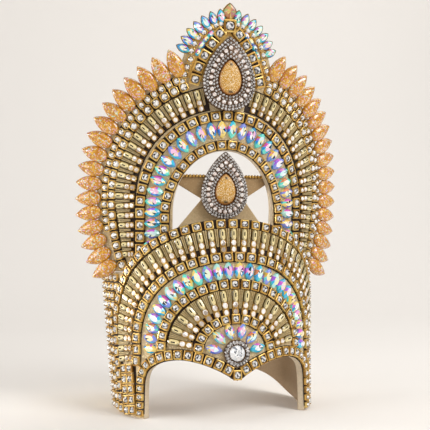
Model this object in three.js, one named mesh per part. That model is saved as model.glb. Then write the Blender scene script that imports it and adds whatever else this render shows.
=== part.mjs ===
// Costume crown: a padded brow panel that wraps the head, a tall halo panel standing behind it,
// a plate across the halo's window, two teardrop medallions and glued rows of set stones.
// Millimetres, +Z up, the front towards -Y.
import * as THREE from 'three';

// Clearance between neighbouring pieces, and of each row from the panel below it
const GAP = 0.3;

// Brow panel, a band that leans back and flares upwards
const BROW_RADIUS = 93.1;
const BROW_FLARE = 0.06;
const BROW_LEAN = 0.166;
const BROW_CENTRE_Y = 57;
const BROW_THICKNESS = 6.3;
const BROW_WRAP_RADIUS = 98;
const BROW_END_ANGLE = 150;
const ARCH_CENTRE_HEIGHT = 60.6;
const DOME_REACH = 133;
const DOME_RISE = 118;
const SHOULDER_HEIGHT = 130;
const SHOULDER_END_ANGLE = 98;
const BACK_TOP_HEIGHT = 80;
const FOOT_COLUMN_ANGLES = [58, 63, 70, 76, 82];
const FRONT_EDGE_STEPS = 22;
const BACK_EDGE_STEPS = 11;

// Lower edge of the brow panel, from the widow's peak round to the foot of the leg
const BROW_LOWER_EDGE = [
  { angle: 0, height: 36.5 },
  { angle: 10, height: 46 },
  { angle: 20, height: 52.4 },
  { angle: 30, height: 54.8 },
  { angle: 40, height: 52 },
  { angle: 48, height: 45 },
  { angle: 51.4, height: 36.8 },
  { angle: 52.8, height: 26 },
  { angle: 54.8, height: 0 },
];

// Lower edge behind the foot, rising towards the open back
const BROW_BACK_EDGE = [
  { angle: 88, height: 0 },
  { angle: 101, height: 4.5 },
  { angle: 110, height: 10 },
  { angle: 120, height: 17 },
  { angle: 132, height: 22.6 },
  { angle: 150, height: 27 },
];

// Halo panel, an upright arch on a wider curve, leaning a little forward
const HALO_RADIUS = 153.9;
const HALO_LEAN = 0.08;
const HALO_CENTRE_Y = 175.5;
const HALO_THICKNESS = 6.3;
const HALO_CENTRE_HEIGHT = 199;
const HALO_REACH = 122.5;
const HALO_RISE = 118.8;
const WINDOW_CENTRE_HEIGHT = 187;
const WINDOW_REACH = 48.8;
const WINDOW_RISE = 54.8;
const CREST_CENTRE_HEIGHT = 305;
const CREST_REACH = 45;
const CREST_RISE = 55;
const HALO_FOOT = { along: 104.6, height: 130.7 };
const HALO_LEG_REACH = 87;
const HALO_LEG_BOTTOM = 118;

// Ribs of the halo panel from window to rim, by angle above the horizontal, then down each foot
const HALO_RIB_ANGLES = [90, 85, 80, 75, 71, 68, 66, 64, 60, 54, 47, 40, 33, 26, 19, 12, 5];
const HALO_FOOT_RIBS = [
  { inner: 182, outerAngle: -6 },
  { inner: 166, outerAngle: -15 },
  { inner: 148, outerAngle: -24 },
];

// Plate across the window, narrow in the middle, right behind the halo panel
const BRIDGE_THICKNESS = 3;
const BRIDGE_CLEARANCE = 0.5;
const BRIDGE_FRONT = -HALO_THICKNESS - BRIDGE_CLEARANCE;
const BRIDGE_COLUMN_SHARES = [-1, -0.6, -0.2, 0.2, 0.6, 1];
const BRIDGE_SECTIONS = [
  { height: 150, halfWidth: 58 },
  { height: 172, halfWidth: 44 },
  { height: 198, halfWidth: 21.5 },
  { height: 215.5, halfWidth: 52 },
  { height: 220, halfWidth: 57 },
];

// Teardrop medallions and the crystal on the brow
const MEDALLION_DEPTH = 7;
const MEDALLION_RIM_DROP = 2.4;
const AMBER_SEAT_DEPTH = 2.6;
const AMBER_BEZEL = 1;
const AMBER_CROWN = 4.2;
const AMBER_CROWN_SHARE = 0.86;
const AMBER_TOP = 5.4;
const AMBER_TOP_SHARE = 0.5;
const TEARDROP_POINT = 0.7;
const AMBER_POINT = 0.45;
const AMBER_SHIFT = -3.6;
const CREST_MEDALLION = {
  height: 310.3, tall: 66.4, wide: 47.4, back: GAP + 1.9, amberTall: 32, amberWide: 20.6,
};
const WINDOW_MEDALLION = {
  height: 210.4, tall: 61.6, wide: 45, back: BRIDGE_FRONT + GAP + 0.5, amberTall: 29, amberWide: 20,
};
const ROSETTE_RADIUS = 11.6;
const ROSETTE_BASE = GAP + 0.7;
const ROSETTE_DEPTH = 4;
const ROSETTE_BEVEL = 1.2;
const ROSETTE_STEPS = 24;
const CRYSTAL_RADIUS = 6.6;
const CRYSTAL_SEAT_DEPTH = 2;
const CRYSTAL_BASE_SHARE = 0.8;
const CRYSTAL_GIRDLE = 1.8;
const CRYSTAL_TABLE = 4;
const CRYSTAL_TABLE_SHARE = 0.58;
const CRYSTAL_STEPS = 16;

// A glued row is wide and tall at each stone, narrow and low at the thread between two stones
const THREAD_WIDTH_SHARE = 0.45;
const THREAD_DEPTH_SHARE = 0.5;
const THREAD_END_SHARE = 0.36;
const TOP_WIDTH_SHARE = 0.72;

// Set rows on arches. Reach and rise are the arch's half width and height, above its centre.
// Drop and end say where a row that runs on below its arch ends, on the girth and in height.
const BROW_ARCHES = [
  { name: 'brow_arch_1', reach: 33.8, rise: 30, count: 11, halfWidth: 4.2, depth: 3.4, sweep: 162 },
  { name: 'brow_short_sticks', reach: 52, rise: 46, count: 13, halfWidth: 10, depth: 3.6, sweep: 158 },
  { name: 'brow_arch_2', reach: 68, rise: 60.6, count: 21, halfWidth: 4.2, depth: 3.4, sweep: 170 },
  { name: 'brow_marquise_row', reach: 79.6, rise: 72.4, count: 27, halfWidth: 6.6, depth: 3.8, sweep: 176 },
  { name: 'brow_arch_3', reach: 95.6, rise: 84.6, count: 30, halfWidth: 4.2, depth: 3.4,
    drop: { along: 97.2, height: 51 } },
  { name: 'brow_long_sticks', reach: 112, rise: 99.4, count: 49, halfWidth: 10, depth: 3.6,
    drop: { along: 112, height: 6 }, narrowBelow: 48 },
  { name: 'brow_arch_4', reach: 128, rise: 114, count: 49, halfWidth: 3.8, depth: 3.4,
    drop: { along: 127, height: 5.6 }, runsIntoColumns: true },
];
const NARROW_STICK_SHARE = 0.86;

const HALO_ARCHES = [
  { name: 'halo_row_inner', centre: 180, reach: 55.6, rise: 67, count: 24, halfWidth: 4, depth: 3.4,
    end: { along: 55.6, height: 160 } },
  { name: 'halo_marquise_row', centre: 187, reach: 67, rise: 74.4, count: 31, halfWidth: 6.6, depth: 3.8,
    end: { along: 66.8, height: 156 } },
  { name: 'halo_row_middle', centre: 190, reach: 78.6, rise: 83.3, count: 31, halfWidth: 4.2, depth: 3.4,
    end: { along: 78.2, height: 152 } },
  { name: 'halo_sticks', centre: 199, reach: 94.2, rise: 91, count: 37, halfWidth: 9.2, depth: 3.6,
    end: { along: 89.6, height: 147, halfWidth: 5.4 }, passesUnderCrest: true },
];

// The stick row's thread runs on, flat, behind the crest medallion
const HIDDEN_THREAD = { reach: 28, halfWidth: 2.6, depth: 1.1 };

// Outer halo row: big crystals up each side, then over the crest medallion
const OUTER_ROW = {
  reach: 107.7, rise: 107.2, fall: 136, count: 19, halfWidth: 3.8, depth: 4, endHeight: 137,
};
const OUTER_ROW_TOP_ANGLE = 68;
const OGEE_STONES = [
  { along: 30.2, height: 305 },
  { along: 27.2, height: 315.8 },
  { along: 22.2, height: 326.3 },
  { along: 15.6, height: 337 },
  { along: 9, height: 346.3 },
  { along: 0, height: 353.6 },
];

// Row of smaller stones just outside it, on the halo's rim, from the lowest to the highest angle
const RIM_ROW = {
  reach: 114, rise: 113.3, count: 21, halfWidth: 2.2, depth: 3, lowest: -6.5, highest: 66,
};

// Columns on the sides of the brow panel, which the outermost arch runs on into
const SIDE_COLUMN_ANGLES = [80.4, 86, 91.6];
const SIDE_COLUMN_TOP = 125;
const SIDE_COLUMN_BOTTOM = 6.5;
const SIDE_COLUMN_PITCH = 8.2;
const SIDE_COLUMN_HALF_WIDTH = 3.5;
const SIDE_COLUMN_DEPTH = 3.2;

// Chain along the front lower edge
const EDGE_CHAIN_INSET = 4.5;
const EDGE_CHAIN_COUNT = 37;
const EDGE_CHAIN_HALF_WIDTH = 3.8;
const EDGE_CHAIN_DEPTH = 3.4;
const EDGE_CHAIN_TIP_SHARE = 1.13;
const EDGE_CHAIN_SAMPLES = 60;

// Fan of long stones round the crest, and the fan under the brow's first arch
const CREST_FAN = { reach: 47, rise: 57, count: 15, sweep: 122, halfWidth: 6.4, depth: 4 };
const CREST_FAN_LIFT = 4;
const BROW_FAN = { radius: 18.6, count: 6, sweep: 176, halfWidth: 5.6, depth: 3.6 };

// Long straight peach stones round the halo's rim. Their inner ends follow an arch, their tips lean
// forward, and near the crest they splay out a little.
const PEACH_PER_SIDE = 17;
const PEACH_LENGTH = 27;
const PEACH_WIDTH = 13.2;
const PEACH_DEPTH = 6;
const PEACH_ENDS = { reach: 119.3, rise: 116 };
const PEACH_TILT = 12;
const PEACH_SPLAY = { most: 6, from: 30, to: 69 };
const PEACH_LIFT = -0.5;
const PEACH_FLAT_SHARE = 0.34;
const PEACH_GIRDLE_SHARE = 0.36;
const PEACH_BASE_SHARE = 0.8;
const PEACH_TABLE_SHARE = 0.5;
const PEACH_FIRST_ANGLE = -31;
const PEACH_LAST_ANGLE = 69;

const FABRIC = { color: 0xb9a47c, roughness: 0.85, metalness: 0.05 };
const GOLD_SET = { color: 0xc9a24e, roughness: 0.3, metalness: 0.8 };
const PEACH = { color: 0xe8a04c, roughness: 0.12, metalness: 0 };
const IRIDESCENT = { color: 0xbfd8e6, roughness: 0.08, metalness: 0.2 };
const CLEAR_STONE = { color: 0xdfe3ea, roughness: 0.05, metalness: 0.1 };
const GUNMETAL = { color: 0x8f8a86, roughness: 0.35, metalness: 0.7 };
const AMBER = { color: 0xd9902f, roughness: 0.4, metalness: 0 };

const radians = THREE.MathUtils.degToRad;
const browGirth = (angle) => radians(angle) * BROW_WRAP_RADIUS;

// Both panels are curved sheets. A place on one is how far along it, how high, and how far out.
const browFace = {
  radius: BROW_WRAP_RADIUS,
  at(along, height, out) {
    const angle = along / BROW_WRAP_RADIUS;
    const radius = BROW_RADIUS + BROW_FLARE * height + out;
    const centreY = BROW_CENTRE_Y + BROW_LEAN * height;
    return new THREE.Vector3(radius * Math.sin(angle), centreY - radius * Math.cos(angle), height);
  },
};

const haloFace = {
  radius: HALO_RADIUS,
  at(along, height, out) {
    const angle = along / HALO_RADIUS;
    const radius = HALO_RADIUS + out;
    const centreY = HALO_CENTRE_Y - HALO_LEAN * height;
    return new THREE.Vector3(radius * Math.sin(angle), centreY - radius * Math.cos(angle), height);
  },
  // Unit directions along the face, up it and out of it
  axes(along) {
    const angle = along / HALO_RADIUS;
    const girth = new THREE.Vector3(Math.cos(angle), Math.sin(angle), 0);
    const upward = new THREE.Vector3(0, -HALO_LEAN, 1).normalize();
    const outward = girth.clone().cross(upward).normalize();
    return { girth, upward, outward };
  },
};

function indexedGeometry(points, triangles) {
  const geometry = new THREE.BufferGeometry();
  const coordinates = points.flatMap((p) => [p.x, p.y, p.z]);
  geometry.setAttribute('position', new THREE.Float32BufferAttribute(coordinates, 3));
  geometry.setIndex(triangles.flat());
  geometry.computeVertexNormals();
  return geometry;
}

// A plate of even thickness on a face, from four-cornered cells listed anticlockwise from outside
function plateGeometry(face, cells, front, back) {
  const corners = [];
  const indexOf = new Map();
  const cornerIndex = (corner) => {
    const key = `${corner.x.toFixed(3)},${corner.y.toFixed(3)}`;
    if (!indexOf.has(key)) {
      indexOf.set(key, corners.length);
      corners.push(corner);
    }
    return indexOf.get(key);
  };
  const loops = cells.map((cell) => cell.map(cornerIndex));
  const behind = (index) => index + corners.length;
  const edges = new Set();
  const triangles = [];
  for (const [a, b, c, d] of loops) {
    triangles.push([a, b, c], [a, c, d]);
    triangles.push([behind(a), behind(c), behind(b)], [behind(a), behind(d), behind(c)]);
    for (const [from, to] of [[a, b], [b, c], [c, d], [d, a]]) edges.add(`${from},${to}`);
  }
  for (const edge of edges) {
    const [from, to] = edge.split(',').map(Number);
    if (edges.has(`${to},${from}`)) continue;
    triangles.push([from, behind(from), behind(to)], [from, behind(to), to]);
  }
  const points = [front, back].flatMap((out) => corners.map((corner) => face.at(corner.x, corner.y, out)));
  return indexedGeometry(points, triangles);
}

// A closed skin through a run of loops, each with the same number of points, capped at both ends
function loftGeometry(loops) {
  const size = loops[0].length;
  const points = loops.flat();
  const triangles = [];
  for (let i = 0; i + 1 < loops.length; i += 1) {
    for (let k = 0; k < size; k += 1) {
      const next = (k + 1) % size;
      const [a, b, c, d] = [i * size + k, i * size + next, (i + 1) * size + next, (i + 1) * size + k];
      triangles.push([a, b, c], [a, c, d]);
    }
  }
  const last = (loops.length - 1) * size;
  for (let k = 1; k + 1 < size; k += 1) {
    triangles.push([0, k + 1, k], [last, last + k, last + k + 1]);
  }
  return indexedGeometry(points, triangles);
}

// A glued row of stones on its thread
function rowGeometry(face, stones) {
  const stations = [];
  stones.forEach((stone, i) => {
    stations.push(stone);
    const next = stones[i + 1];
    if (!next) return;
    stations.push({
      place: stone.place.clone().lerp(next.place, 0.5),
      halfWidth: THREAD_WIDTH_SHARE * Math.min(stone.halfWidth, next.halfWidth),
      depth: THREAD_DEPTH_SHARE * Math.min(stone.depth, next.depth),
    });
  });
  const endStation = (stone, towards) => ({
    place: stone.place.clone().lerp(towards.place, -THREAD_END_SHARE),
    halfWidth: THREAD_WIDTH_SHARE * stone.halfWidth,
    depth: THREAD_DEPTH_SHARE * stone.depth,
  });
  stations.unshift(endStation(stones[0], stones[1]));
  stations.push(endStation(stones.at(-1), stones.at(-2)));

  const loops = stations.map((station, i) => {
    const before = stations[Math.max(i - 1, 0)].place;
    const after = stations[Math.min(i + 1, stations.length - 1)].place;
    const tangent = after.clone().sub(before).normalize();
    const left = new THREE.Vector2(-tangent.y, tangent.x);
    const base = GAP + station.halfWidth ** 2 / (2 * face.radius);
    const corner = (side, out) => {
      const spot = station.place.clone().addScaledVector(left, side * station.halfWidth);
      return face.at(spot.x, spot.y, base + out);
    };
    return [
      corner(1, 0),
      corner(TOP_WIDTH_SHARE, station.depth),
      corner(-TOP_WIDTH_SHARE, station.depth),
      corner(-1, 0),
    ];
  });
  return loftGeometry(loops);
}

// Evenly spaced places along an arch, from left to right, with straight runs down to its ends
function archPlaces({ reach, rise, count, sweep = 180, end }, centreHeight) {
  const tilt = radians((180 - sweep) / 2);
  const path = new THREE.Path();
  if (end) path.moveTo(-end.along, end.height).lineTo(-reach, centreHeight);
  path.absellipse(0, centreHeight, reach, rise, Math.PI - tilt, tilt, true);
  if (end) path.lineTo(end.along, end.height);
  return path.getSpacedPoints(count - 1);
}

const evenStones = (places, halfWidth, depth) => places.map((place) => ({ place, halfWidth, depth }));

function browArch(row) {
  const places = archPlaces({ ...row, end: row.drop }, ARCH_CENTRE_HEIGHT);
  const stones = evenStones(places, row.halfWidth, row.depth);
  for (const stone of stones) {
    if (stone.place.y < row.narrowBelow) stone.halfWidth *= NARROW_STICK_SHARE;
  }
  if (row.runsIntoColumns) {
    stones.unshift(...sideColumns(-1).reverse());
    stones.push(...sideColumns(1));
  }
  return rowGeometry(browFace, stones);
}

function haloArch(row) {
  const stones = evenStones(archPlaces(row, row.centre), row.halfWidth, row.depth);
  for (const stone of stones) {
    const { x, y } = stone.place;
    if (row.end.halfWidth && y < row.centre) {
      const share = (row.centre - y) / (row.centre - row.end.height);
      stone.halfWidth = THREE.MathUtils.lerp(row.halfWidth, row.end.halfWidth, share);
    }
    if (row.passesUnderCrest && Math.abs(x) < HIDDEN_THREAD.reach) {
      stone.halfWidth = HIDDEN_THREAD.halfWidth;
      stone.depth = HIDDEN_THREAD.depth;
    }
  }
  return rowGeometry(haloFace, stones);
}

// The edge of the halo's window, which is centred lower than its rim
function windowEdge(angle) {
  const turn = radians(angle);
  const height = WINDOW_CENTRE_HEIGHT + WINDOW_RISE * Math.sin(turn);
  return new THREE.Vector2(WINDOW_REACH * Math.cos(turn), height);
}

function outerRow() {
  const { reach, rise, fall, count, halfWidth, depth, endHeight } = OUTER_ROW;
  const lowest = Math.asin((endHeight - HALO_CENTRE_HEIGHT) / fall);
  const side = new THREE.Path();
  side.absellipse(0, HALO_CENTRE_HEIGHT, reach, fall, lowest, 0, false);
  side.absellipse(0, HALO_CENTRE_HEIGHT, reach, rise, 0, radians(OUTER_ROW_TOP_ANGLE), false);
  const ogee = OGEE_STONES.map((stone) => new THREE.Vector2(stone.along, stone.height));
  const right = [...side.getSpacedPoints(count - 1), ...ogee];
  const left = right.slice(0, -1).map((place) => new THREE.Vector2(-place.x, place.y));
  return rowGeometry(haloFace, evenStones([...left, ...right.reverse()], halfWidth, depth));
}

function rimRow(side) {
  const { reach, rise, count, halfWidth, depth, lowest, highest } = RIM_ROW;
  const path = new THREE.Path();
  path.absellipse(0, HALO_CENTRE_HEIGHT, reach, rise, radians(lowest), radians(highest), false);
  const places = path.getSpacedPoints(count - 1).map((place) => new THREE.Vector2(side * place.x, place.y));
  return rowGeometry(haloFace, evenStones(side > 0 ? places.reverse() : places, halfWidth, depth));
}

// The front lower edge of one side, as a smooth curve of places
function lowerEdgeCurve() {
  const places = BROW_LOWER_EDGE.map((row) => new THREE.Vector2(browGirth(row.angle), row.height));
  return new THREE.SplineCurve(places);
}

function edgeChain() {
  const curve = lowerEdgeCurve();
  const side = [];
  for (let i = 0; i <= EDGE_CHAIN_SAMPLES; i += 1) {
    const share = i / EDGE_CHAIN_SAMPLES;
    const tangent = curve.getTangentAt(share);
    const inward = new THREE.Vector2(-tangent.y, tangent.x);
    side.push(curve.getPointAt(share).addScaledVector(inward, EDGE_CHAIN_INSET));
  }
  const right = side.filter((place) => place.x > EDGE_CHAIN_INSET && place.y > EDGE_CHAIN_INSET);
  const tip = new THREE.Vector2(0, BROW_LOWER_EDGE[0].height + EDGE_CHAIN_INSET * EDGE_CHAIN_TIP_SHARE);
  const left = right.map((place) => new THREE.Vector2(-place.x, place.y)).reverse();
  const chain = new THREE.SplineCurve([...left, tip, ...right]);
  const places = chain.getSpacedPoints(EDGE_CHAIN_COUNT - 1);
  return rowGeometry(browFace, evenStones(places, EDGE_CHAIN_HALF_WIDTH, EDGE_CHAIN_DEPTH));
}

// Side columns run up from the foot, back down and up again as one chain
function sideColumns(side) {
  const rows = Math.round((SIDE_COLUMN_TOP - SIDE_COLUMN_BOTTOM) / SIDE_COLUMN_PITCH);
  const places = [];
  SIDE_COLUMN_ANGLES.forEach((angle, column) => {
    for (let i = 0; i <= rows; i += 1) {
      const share = column % 2 === 0 ? i / rows : 1 - i / rows;
      const height = THREE.MathUtils.lerp(SIDE_COLUMN_BOTTOM, SIDE_COLUMN_TOP, share);
      places.push(new THREE.Vector2(side * browGirth(angle), height));
    }
  });
  return evenStones(places, SIDE_COLUMN_HALF_WIDTH, SIDE_COLUMN_DEPTH);
}

function crestFan() {
  const { reach, rise, count, sweep, halfWidth, depth } = CREST_FAN;
  const places = archPlaces({ reach, rise, count, sweep }, CREST_CENTRE_HEIGHT);
  const stones = evenStones(places, halfWidth, depth);
  const middle = stones[(count - 1) / 2];
  middle.place.y += CREST_FAN_LIFT;
  return rowGeometry(haloFace, stones);
}

function browFan() {
  const { radius, count, sweep, halfWidth, depth } = BROW_FAN;
  const places = archPlaces({ reach: radius, rise: radius, count, sweep }, ARCH_CENTRE_HEIGHT);
  return rowGeometry(browFace, evenStones(places, halfWidth, depth));
}

// Top edge of the brow panel: the dome, the level shoulder, then the fall to the open back
function browTop(angle) {
  const along = browGirth(angle);
  const dome = along < DOME_REACH ? DOME_RISE * Math.sqrt(1 - (along / DOME_REACH) ** 2) : 0;
  const fall = THREE.MathUtils.smoothstep(angle, SHOULDER_END_ANGLE, BROW_END_ANGLE);
  const shoulder = THREE.MathUtils.lerp(SHOULDER_HEIGHT, BACK_TOP_HEIGHT, fall);
  return Math.max(ARCH_CENTRE_HEIGHT + dome, shoulder);
}

function browPanel() {
  const front = lowerEdgeCurve().getSpacedPoints(FRONT_EDGE_STEPS);
  const foot = FOOT_COLUMN_ANGLES.map((angle) => new THREE.Vector2(browGirth(angle), 0));
  const backPlaces = BROW_BACK_EDGE.map((row) => new THREE.Vector2(browGirth(row.angle), row.height));
  const back = new THREE.SplineCurve(backPlaces).getSpacedPoints(BACK_EDGE_STEPS);
  const right = [...front, ...foot, ...back];
  const left = right.slice(1).map((place) => new THREE.Vector2(-place.x, place.y)).reverse();
  const bottom = [...left, ...right];
  const topOf = (place) => {
    const angle = THREE.MathUtils.radToDeg(Math.abs(place.x) / BROW_WRAP_RADIUS);
    return new THREE.Vector2(place.x, browTop(angle));
  };
  const cells = [];
  for (let i = 0; i + 1 < bottom.length; i += 1) {
    const [from, to] = [bottom[i], bottom[i + 1]];
    cells.push([from, to, topOf(to), topOf(from)]);
  }
  return plateGeometry(browFace, cells, 0, -BROW_THICKNESS);
}

// Where a ray from the halo's centre leaves the panel: the crest near the top, or the rim
function haloOutline(angle) {
  const turn = radians(angle);
  const direction = new THREE.Vector2(Math.cos(turn), Math.sin(turn));
  const lift = CREST_CENTRE_HEIGHT - HALO_CENTRE_HEIGHT;
  const a = (direction.x / CREST_REACH) ** 2 + (direction.y / CREST_RISE) ** 2;
  const b = (direction.y * lift) / CREST_RISE ** 2;
  const c = (lift / CREST_RISE) ** 2 - 1;
  const root = b * b - a * c;
  const crest = root > 0 && direction.y > 0 ? (b + Math.sqrt(root)) / a : 0;
  const rim = 1 / Math.hypot(direction.x / HALO_REACH, direction.y / HALO_RISE);
  const length = Math.max(crest, rim);
  return new THREE.Vector2(length * direction.x, HALO_CENTRE_HEIGHT + length * direction.y);
}

function haloRibs() {
  const legShare = (HALO_LEG_REACH - WINDOW_REACH) / (HALO_FOOT.along - WINDOW_REACH);
  const shares = [0, legShare / 3, (2 * legShare) / 3, legShare, (1 + legShare) / 2, 1];
  const rib = (inner, outer) => shares.map((share) => inner.clone().lerp(outer, share));
  const ribs = HALO_RIB_ANGLES.map((angle) => rib(windowEdge(angle), haloOutline(angle)));
  for (const row of HALO_FOOT_RIBS) {
    ribs.push(rib(new THREE.Vector2(WINDOW_REACH, row.inner), haloOutline(row.outerAngle)));
  }
  const footOuter = new THREE.Vector2(HALO_FOOT.along, HALO_FOOT.height);
  const foot = rib(new THREE.Vector2(WINDOW_REACH, HALO_FOOT.height), footOuter);
  ribs.push(foot);
  const legTop = foot.slice(0, shares.indexOf(legShare) + 1);
  ribs.push(legTop.map((place) => new THREE.Vector2(place.x, HALO_LEG_BOTTOM)));
  return ribs;
}

function haloPanel() {
  const ribs = haloRibs();
  const mirror = (place) => new THREE.Vector2(-place.x, place.y);
  const cells = [];
  for (let i = 0; i + 1 < ribs.length; i += 1) {
    const [upper, lower] = [ribs[i], ribs[i + 1]];
    for (let k = 0; k + 1 < lower.length; k += 1) {
      const cell = [upper[k], lower[k], lower[k + 1], upper[k + 1]];
      cells.push(cell, cell.map(mirror).reverse());
    }
  }
  return plateGeometry(haloFace, cells, 0, -HALO_THICKNESS);
}

function medallionBridge() {
  const place = (row, share) => new THREE.Vector2(share * row.halfWidth, row.height);
  const rows = BRIDGE_SECTIONS.map((row) => BRIDGE_COLUMN_SHARES.map((share) => place(row, share)));
  const cells = [];
  for (let i = 0; i + 1 < rows.length; i += 1) {
    for (let k = 0; k + 1 < rows[i].length; k += 1) {
      cells.push([rows[i][k], rows[i][k + 1], rows[i + 1][k + 1], rows[i + 1][k]]);
    }
  }
  return plateGeometry(haloFace, cells, BRIDGE_FRONT, BRIDGE_FRONT - BRIDGE_THICKNESS);
}

// A teardrop loop, point upwards, listed anticlockwise from outside
function teardrop(width, height, point, steps = 28) {
  const loop = [];
  let widest = 0;
  for (let i = 0; i < steps; i += 1) {
    const turn = (2 * Math.PI * i) / steps;
    const x = -Math.sin(turn) * Math.abs(Math.sin(turn / 2)) ** point;
    widest = Math.max(widest, Math.abs(x));
    loop.push(new THREE.Vector2(x, Math.cos(turn)));
  }
  return loop.map((p) => new THREE.Vector2((p.x * width) / (2 * widest), (p.y * height) / 2));
}

function circle(radius, steps) {
  return new THREE.Path().absarc(0, 0, radius, 0, 2 * Math.PI, false).getPoints(steps).slice(0, steps);
}

// Loops of one outline at several scales and depths, laid on a face round a centre
function stackedGeometry(face, centre, layers) {
  const loops = layers.map(({ outline, out, turn = 0 }) => outline.map((p) => {
    const spot = p.clone().rotateAround(new THREE.Vector2(), turn).add(centre);
    return face.at(spot.x, spot.y, out);
  }));
  return loftGeometry(loops);
}

function medallionSetting(medal) {
  const outer = teardrop(medal.wide, medal.tall, TEARDROP_POINT);
  const shift = new THREE.Vector2(0, AMBER_SHIFT);
  const amberLoop = (grow) => teardrop(medal.amberWide + grow, medal.amberTall + grow, AMBER_POINT)
    .map((p) => p.clone().add(shift));
  const front = medal.back + MEDALLION_DEPTH;
  return stackedGeometry(haloFace, new THREE.Vector2(0, medal.height), [
    { outline: outer, out: medal.back },
    { outline: outer, out: front - MEDALLION_RIM_DROP },
    { outline: amberLoop(2 * GAP + AMBER_BEZEL), out: front },
    { outline: amberLoop(2 * GAP), out: front - AMBER_SEAT_DEPTH },
  ]);
}

function amberStone(medal) {
  const shift = new THREE.Vector2(0, AMBER_SHIFT);
  const loop = (share) => teardrop(medal.amberWide * share, medal.amberTall * share, AMBER_POINT)
    .map((p) => p.clone().add(shift));
  const seat = medal.back + MEDALLION_DEPTH - AMBER_SEAT_DEPTH + GAP;
  return stackedGeometry(haloFace, new THREE.Vector2(0, medal.height), [
    { outline: loop(1), out: seat },
    { outline: loop(1), out: seat + AMBER_SEAT_DEPTH },
    { outline: loop(AMBER_CROWN_SHARE), out: seat + AMBER_CROWN },
    { outline: loop(AMBER_TOP_SHARE), out: seat + AMBER_TOP },
  ]);
}

function browRosette() {
  const front = ROSETTE_BASE + ROSETTE_DEPTH;
  return stackedGeometry(browFace, new THREE.Vector2(0, ARCH_CENTRE_HEIGHT), [
    { outline: circle(ROSETTE_RADIUS, ROSETTE_STEPS), out: ROSETTE_BASE },
    { outline: circle(ROSETTE_RADIUS, ROSETTE_STEPS), out: front - ROSETTE_BEVEL },
    { outline: circle(CRYSTAL_RADIUS + ROSETTE_BEVEL, ROSETTE_STEPS), out: front },
    { outline: circle(CRYSTAL_RADIUS + GAP, ROSETTE_STEPS), out: front - CRYSTAL_SEAT_DEPTH },
  ]);
}

function browCrystal() {
  const seat = ROSETTE_BASE + ROSETTE_DEPTH - CRYSTAL_SEAT_DEPTH + GAP;
  return stackedGeometry(browFace, new THREE.Vector2(0, ARCH_CENTRE_HEIGHT), [
    { outline: circle(CRYSTAL_RADIUS * CRYSTAL_BASE_SHARE, CRYSTAL_STEPS), out: seat },
    { outline: circle(CRYSTAL_RADIUS, CRYSTAL_STEPS), out: seat + CRYSTAL_GIRDLE },
    { outline: circle(CRYSTAL_RADIUS * CRYSTAL_TABLE_SHARE, CRYSTAL_STEPS), out: seat + CRYSTAL_TABLE },
  ]);
}

// A long pointed stone: two tips and two bulging points on each side, lying along its first axis
function peachOutline(share) {
  const half = (share * PEACH_LENGTH) / 2;
  const bulge = (share * PEACH_WIDTH) / 2;
  const flat = half * PEACH_FLAT_SHARE;
  const corners = [[half, 0], [flat, bulge], [-flat, bulge], [-half, 0], [-flat, -bulge], [flat, -bulge]];
  return corners.map(([x, y]) => new THREE.Vector2(x, y));
}

function peachStone(side, angle) {
  const turn = radians(angle);
  const { reach, rise } = PEACH_ENDS;
  const along = side * reach * Math.cos(turn);
  const height = HALO_CENTRE_HEIGHT + rise * Math.sin(turn);
  const splay = PEACH_SPLAY.most * THREE.MathUtils.smoothstep(angle, PEACH_SPLAY.from, PEACH_SPLAY.to);
  const slant = Math.atan2(Math.sin(turn) / rise, Math.cos(turn) / reach) - radians(splay);
  const { girth, upward, outward } = haloFace.axes(along);
  const level = girth.multiplyScalar(side * Math.cos(slant))
    .addScaledVector(upward, Math.sin(slant))
    .normalize();
  const tilt = radians(PEACH_TILT);
  const axis = level.clone().multiplyScalar(Math.cos(tilt)).addScaledVector(outward, Math.sin(tilt));
  const across = outward.clone().cross(level).normalize();
  const lift = axis.clone().cross(across);
  const placing = new THREE.Matrix4().makeBasis(axis, across, lift);
  placing.setPosition(haloFace.at(along, height, GAP + PEACH_LIFT));
  const loop = (share, depth) => peachOutline(share)
    .map((p) => new THREE.Vector3(p.x + PEACH_LENGTH / 2, p.y, depth).applyMatrix4(placing));
  return loftGeometry([
    loop(PEACH_BASE_SHARE, 0),
    loop(1, PEACH_DEPTH * PEACH_GIRDLE_SHARE),
    loop(PEACH_TABLE_SHARE, PEACH_DEPTH),
  ]);
}

const crown = new THREE.Group();

function addPiece(name, geometry, finish) {
  const mesh = new THREE.Mesh(geometry, new THREE.MeshStandardMaterial(finish));
  mesh.name = name;
  crown.add(mesh);
}

addPiece('brow_panel', browPanel(), FABRIC);
addPiece('halo_panel', haloPanel(), FABRIC);
addPiece('medallion_bridge', medallionBridge(), FABRIC);

addPiece('crest_medallion_setting', medallionSetting(CREST_MEDALLION), GUNMETAL);
addPiece('crest_amber_stone', amberStone(CREST_MEDALLION), AMBER);
addPiece('window_medallion_setting', medallionSetting(WINDOW_MEDALLION), GUNMETAL);
addPiece('window_amber_stone', amberStone(WINDOW_MEDALLION), AMBER);
addPiece('brow_rosette', browRosette(), GUNMETAL);
addPiece('brow_crystal', browCrystal(), CLEAR_STONE);

const rowFinish = (row) => (row.name.includes('marquise') ? IRIDESCENT : GOLD_SET);
for (const row of BROW_ARCHES) addPiece(row.name, browArch(row), rowFinish(row));
for (const row of HALO_ARCHES) addPiece(row.name, haloArch(row), rowFinish(row));
addPiece('halo_row_outer', outerRow(), GOLD_SET);
addPiece('brow_fan', browFan(), IRIDESCENT);
addPiece('crest_fan', crestFan(), IRIDESCENT);
addPiece('brow_edge_chain', edgeChain(), GOLD_SET);

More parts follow.
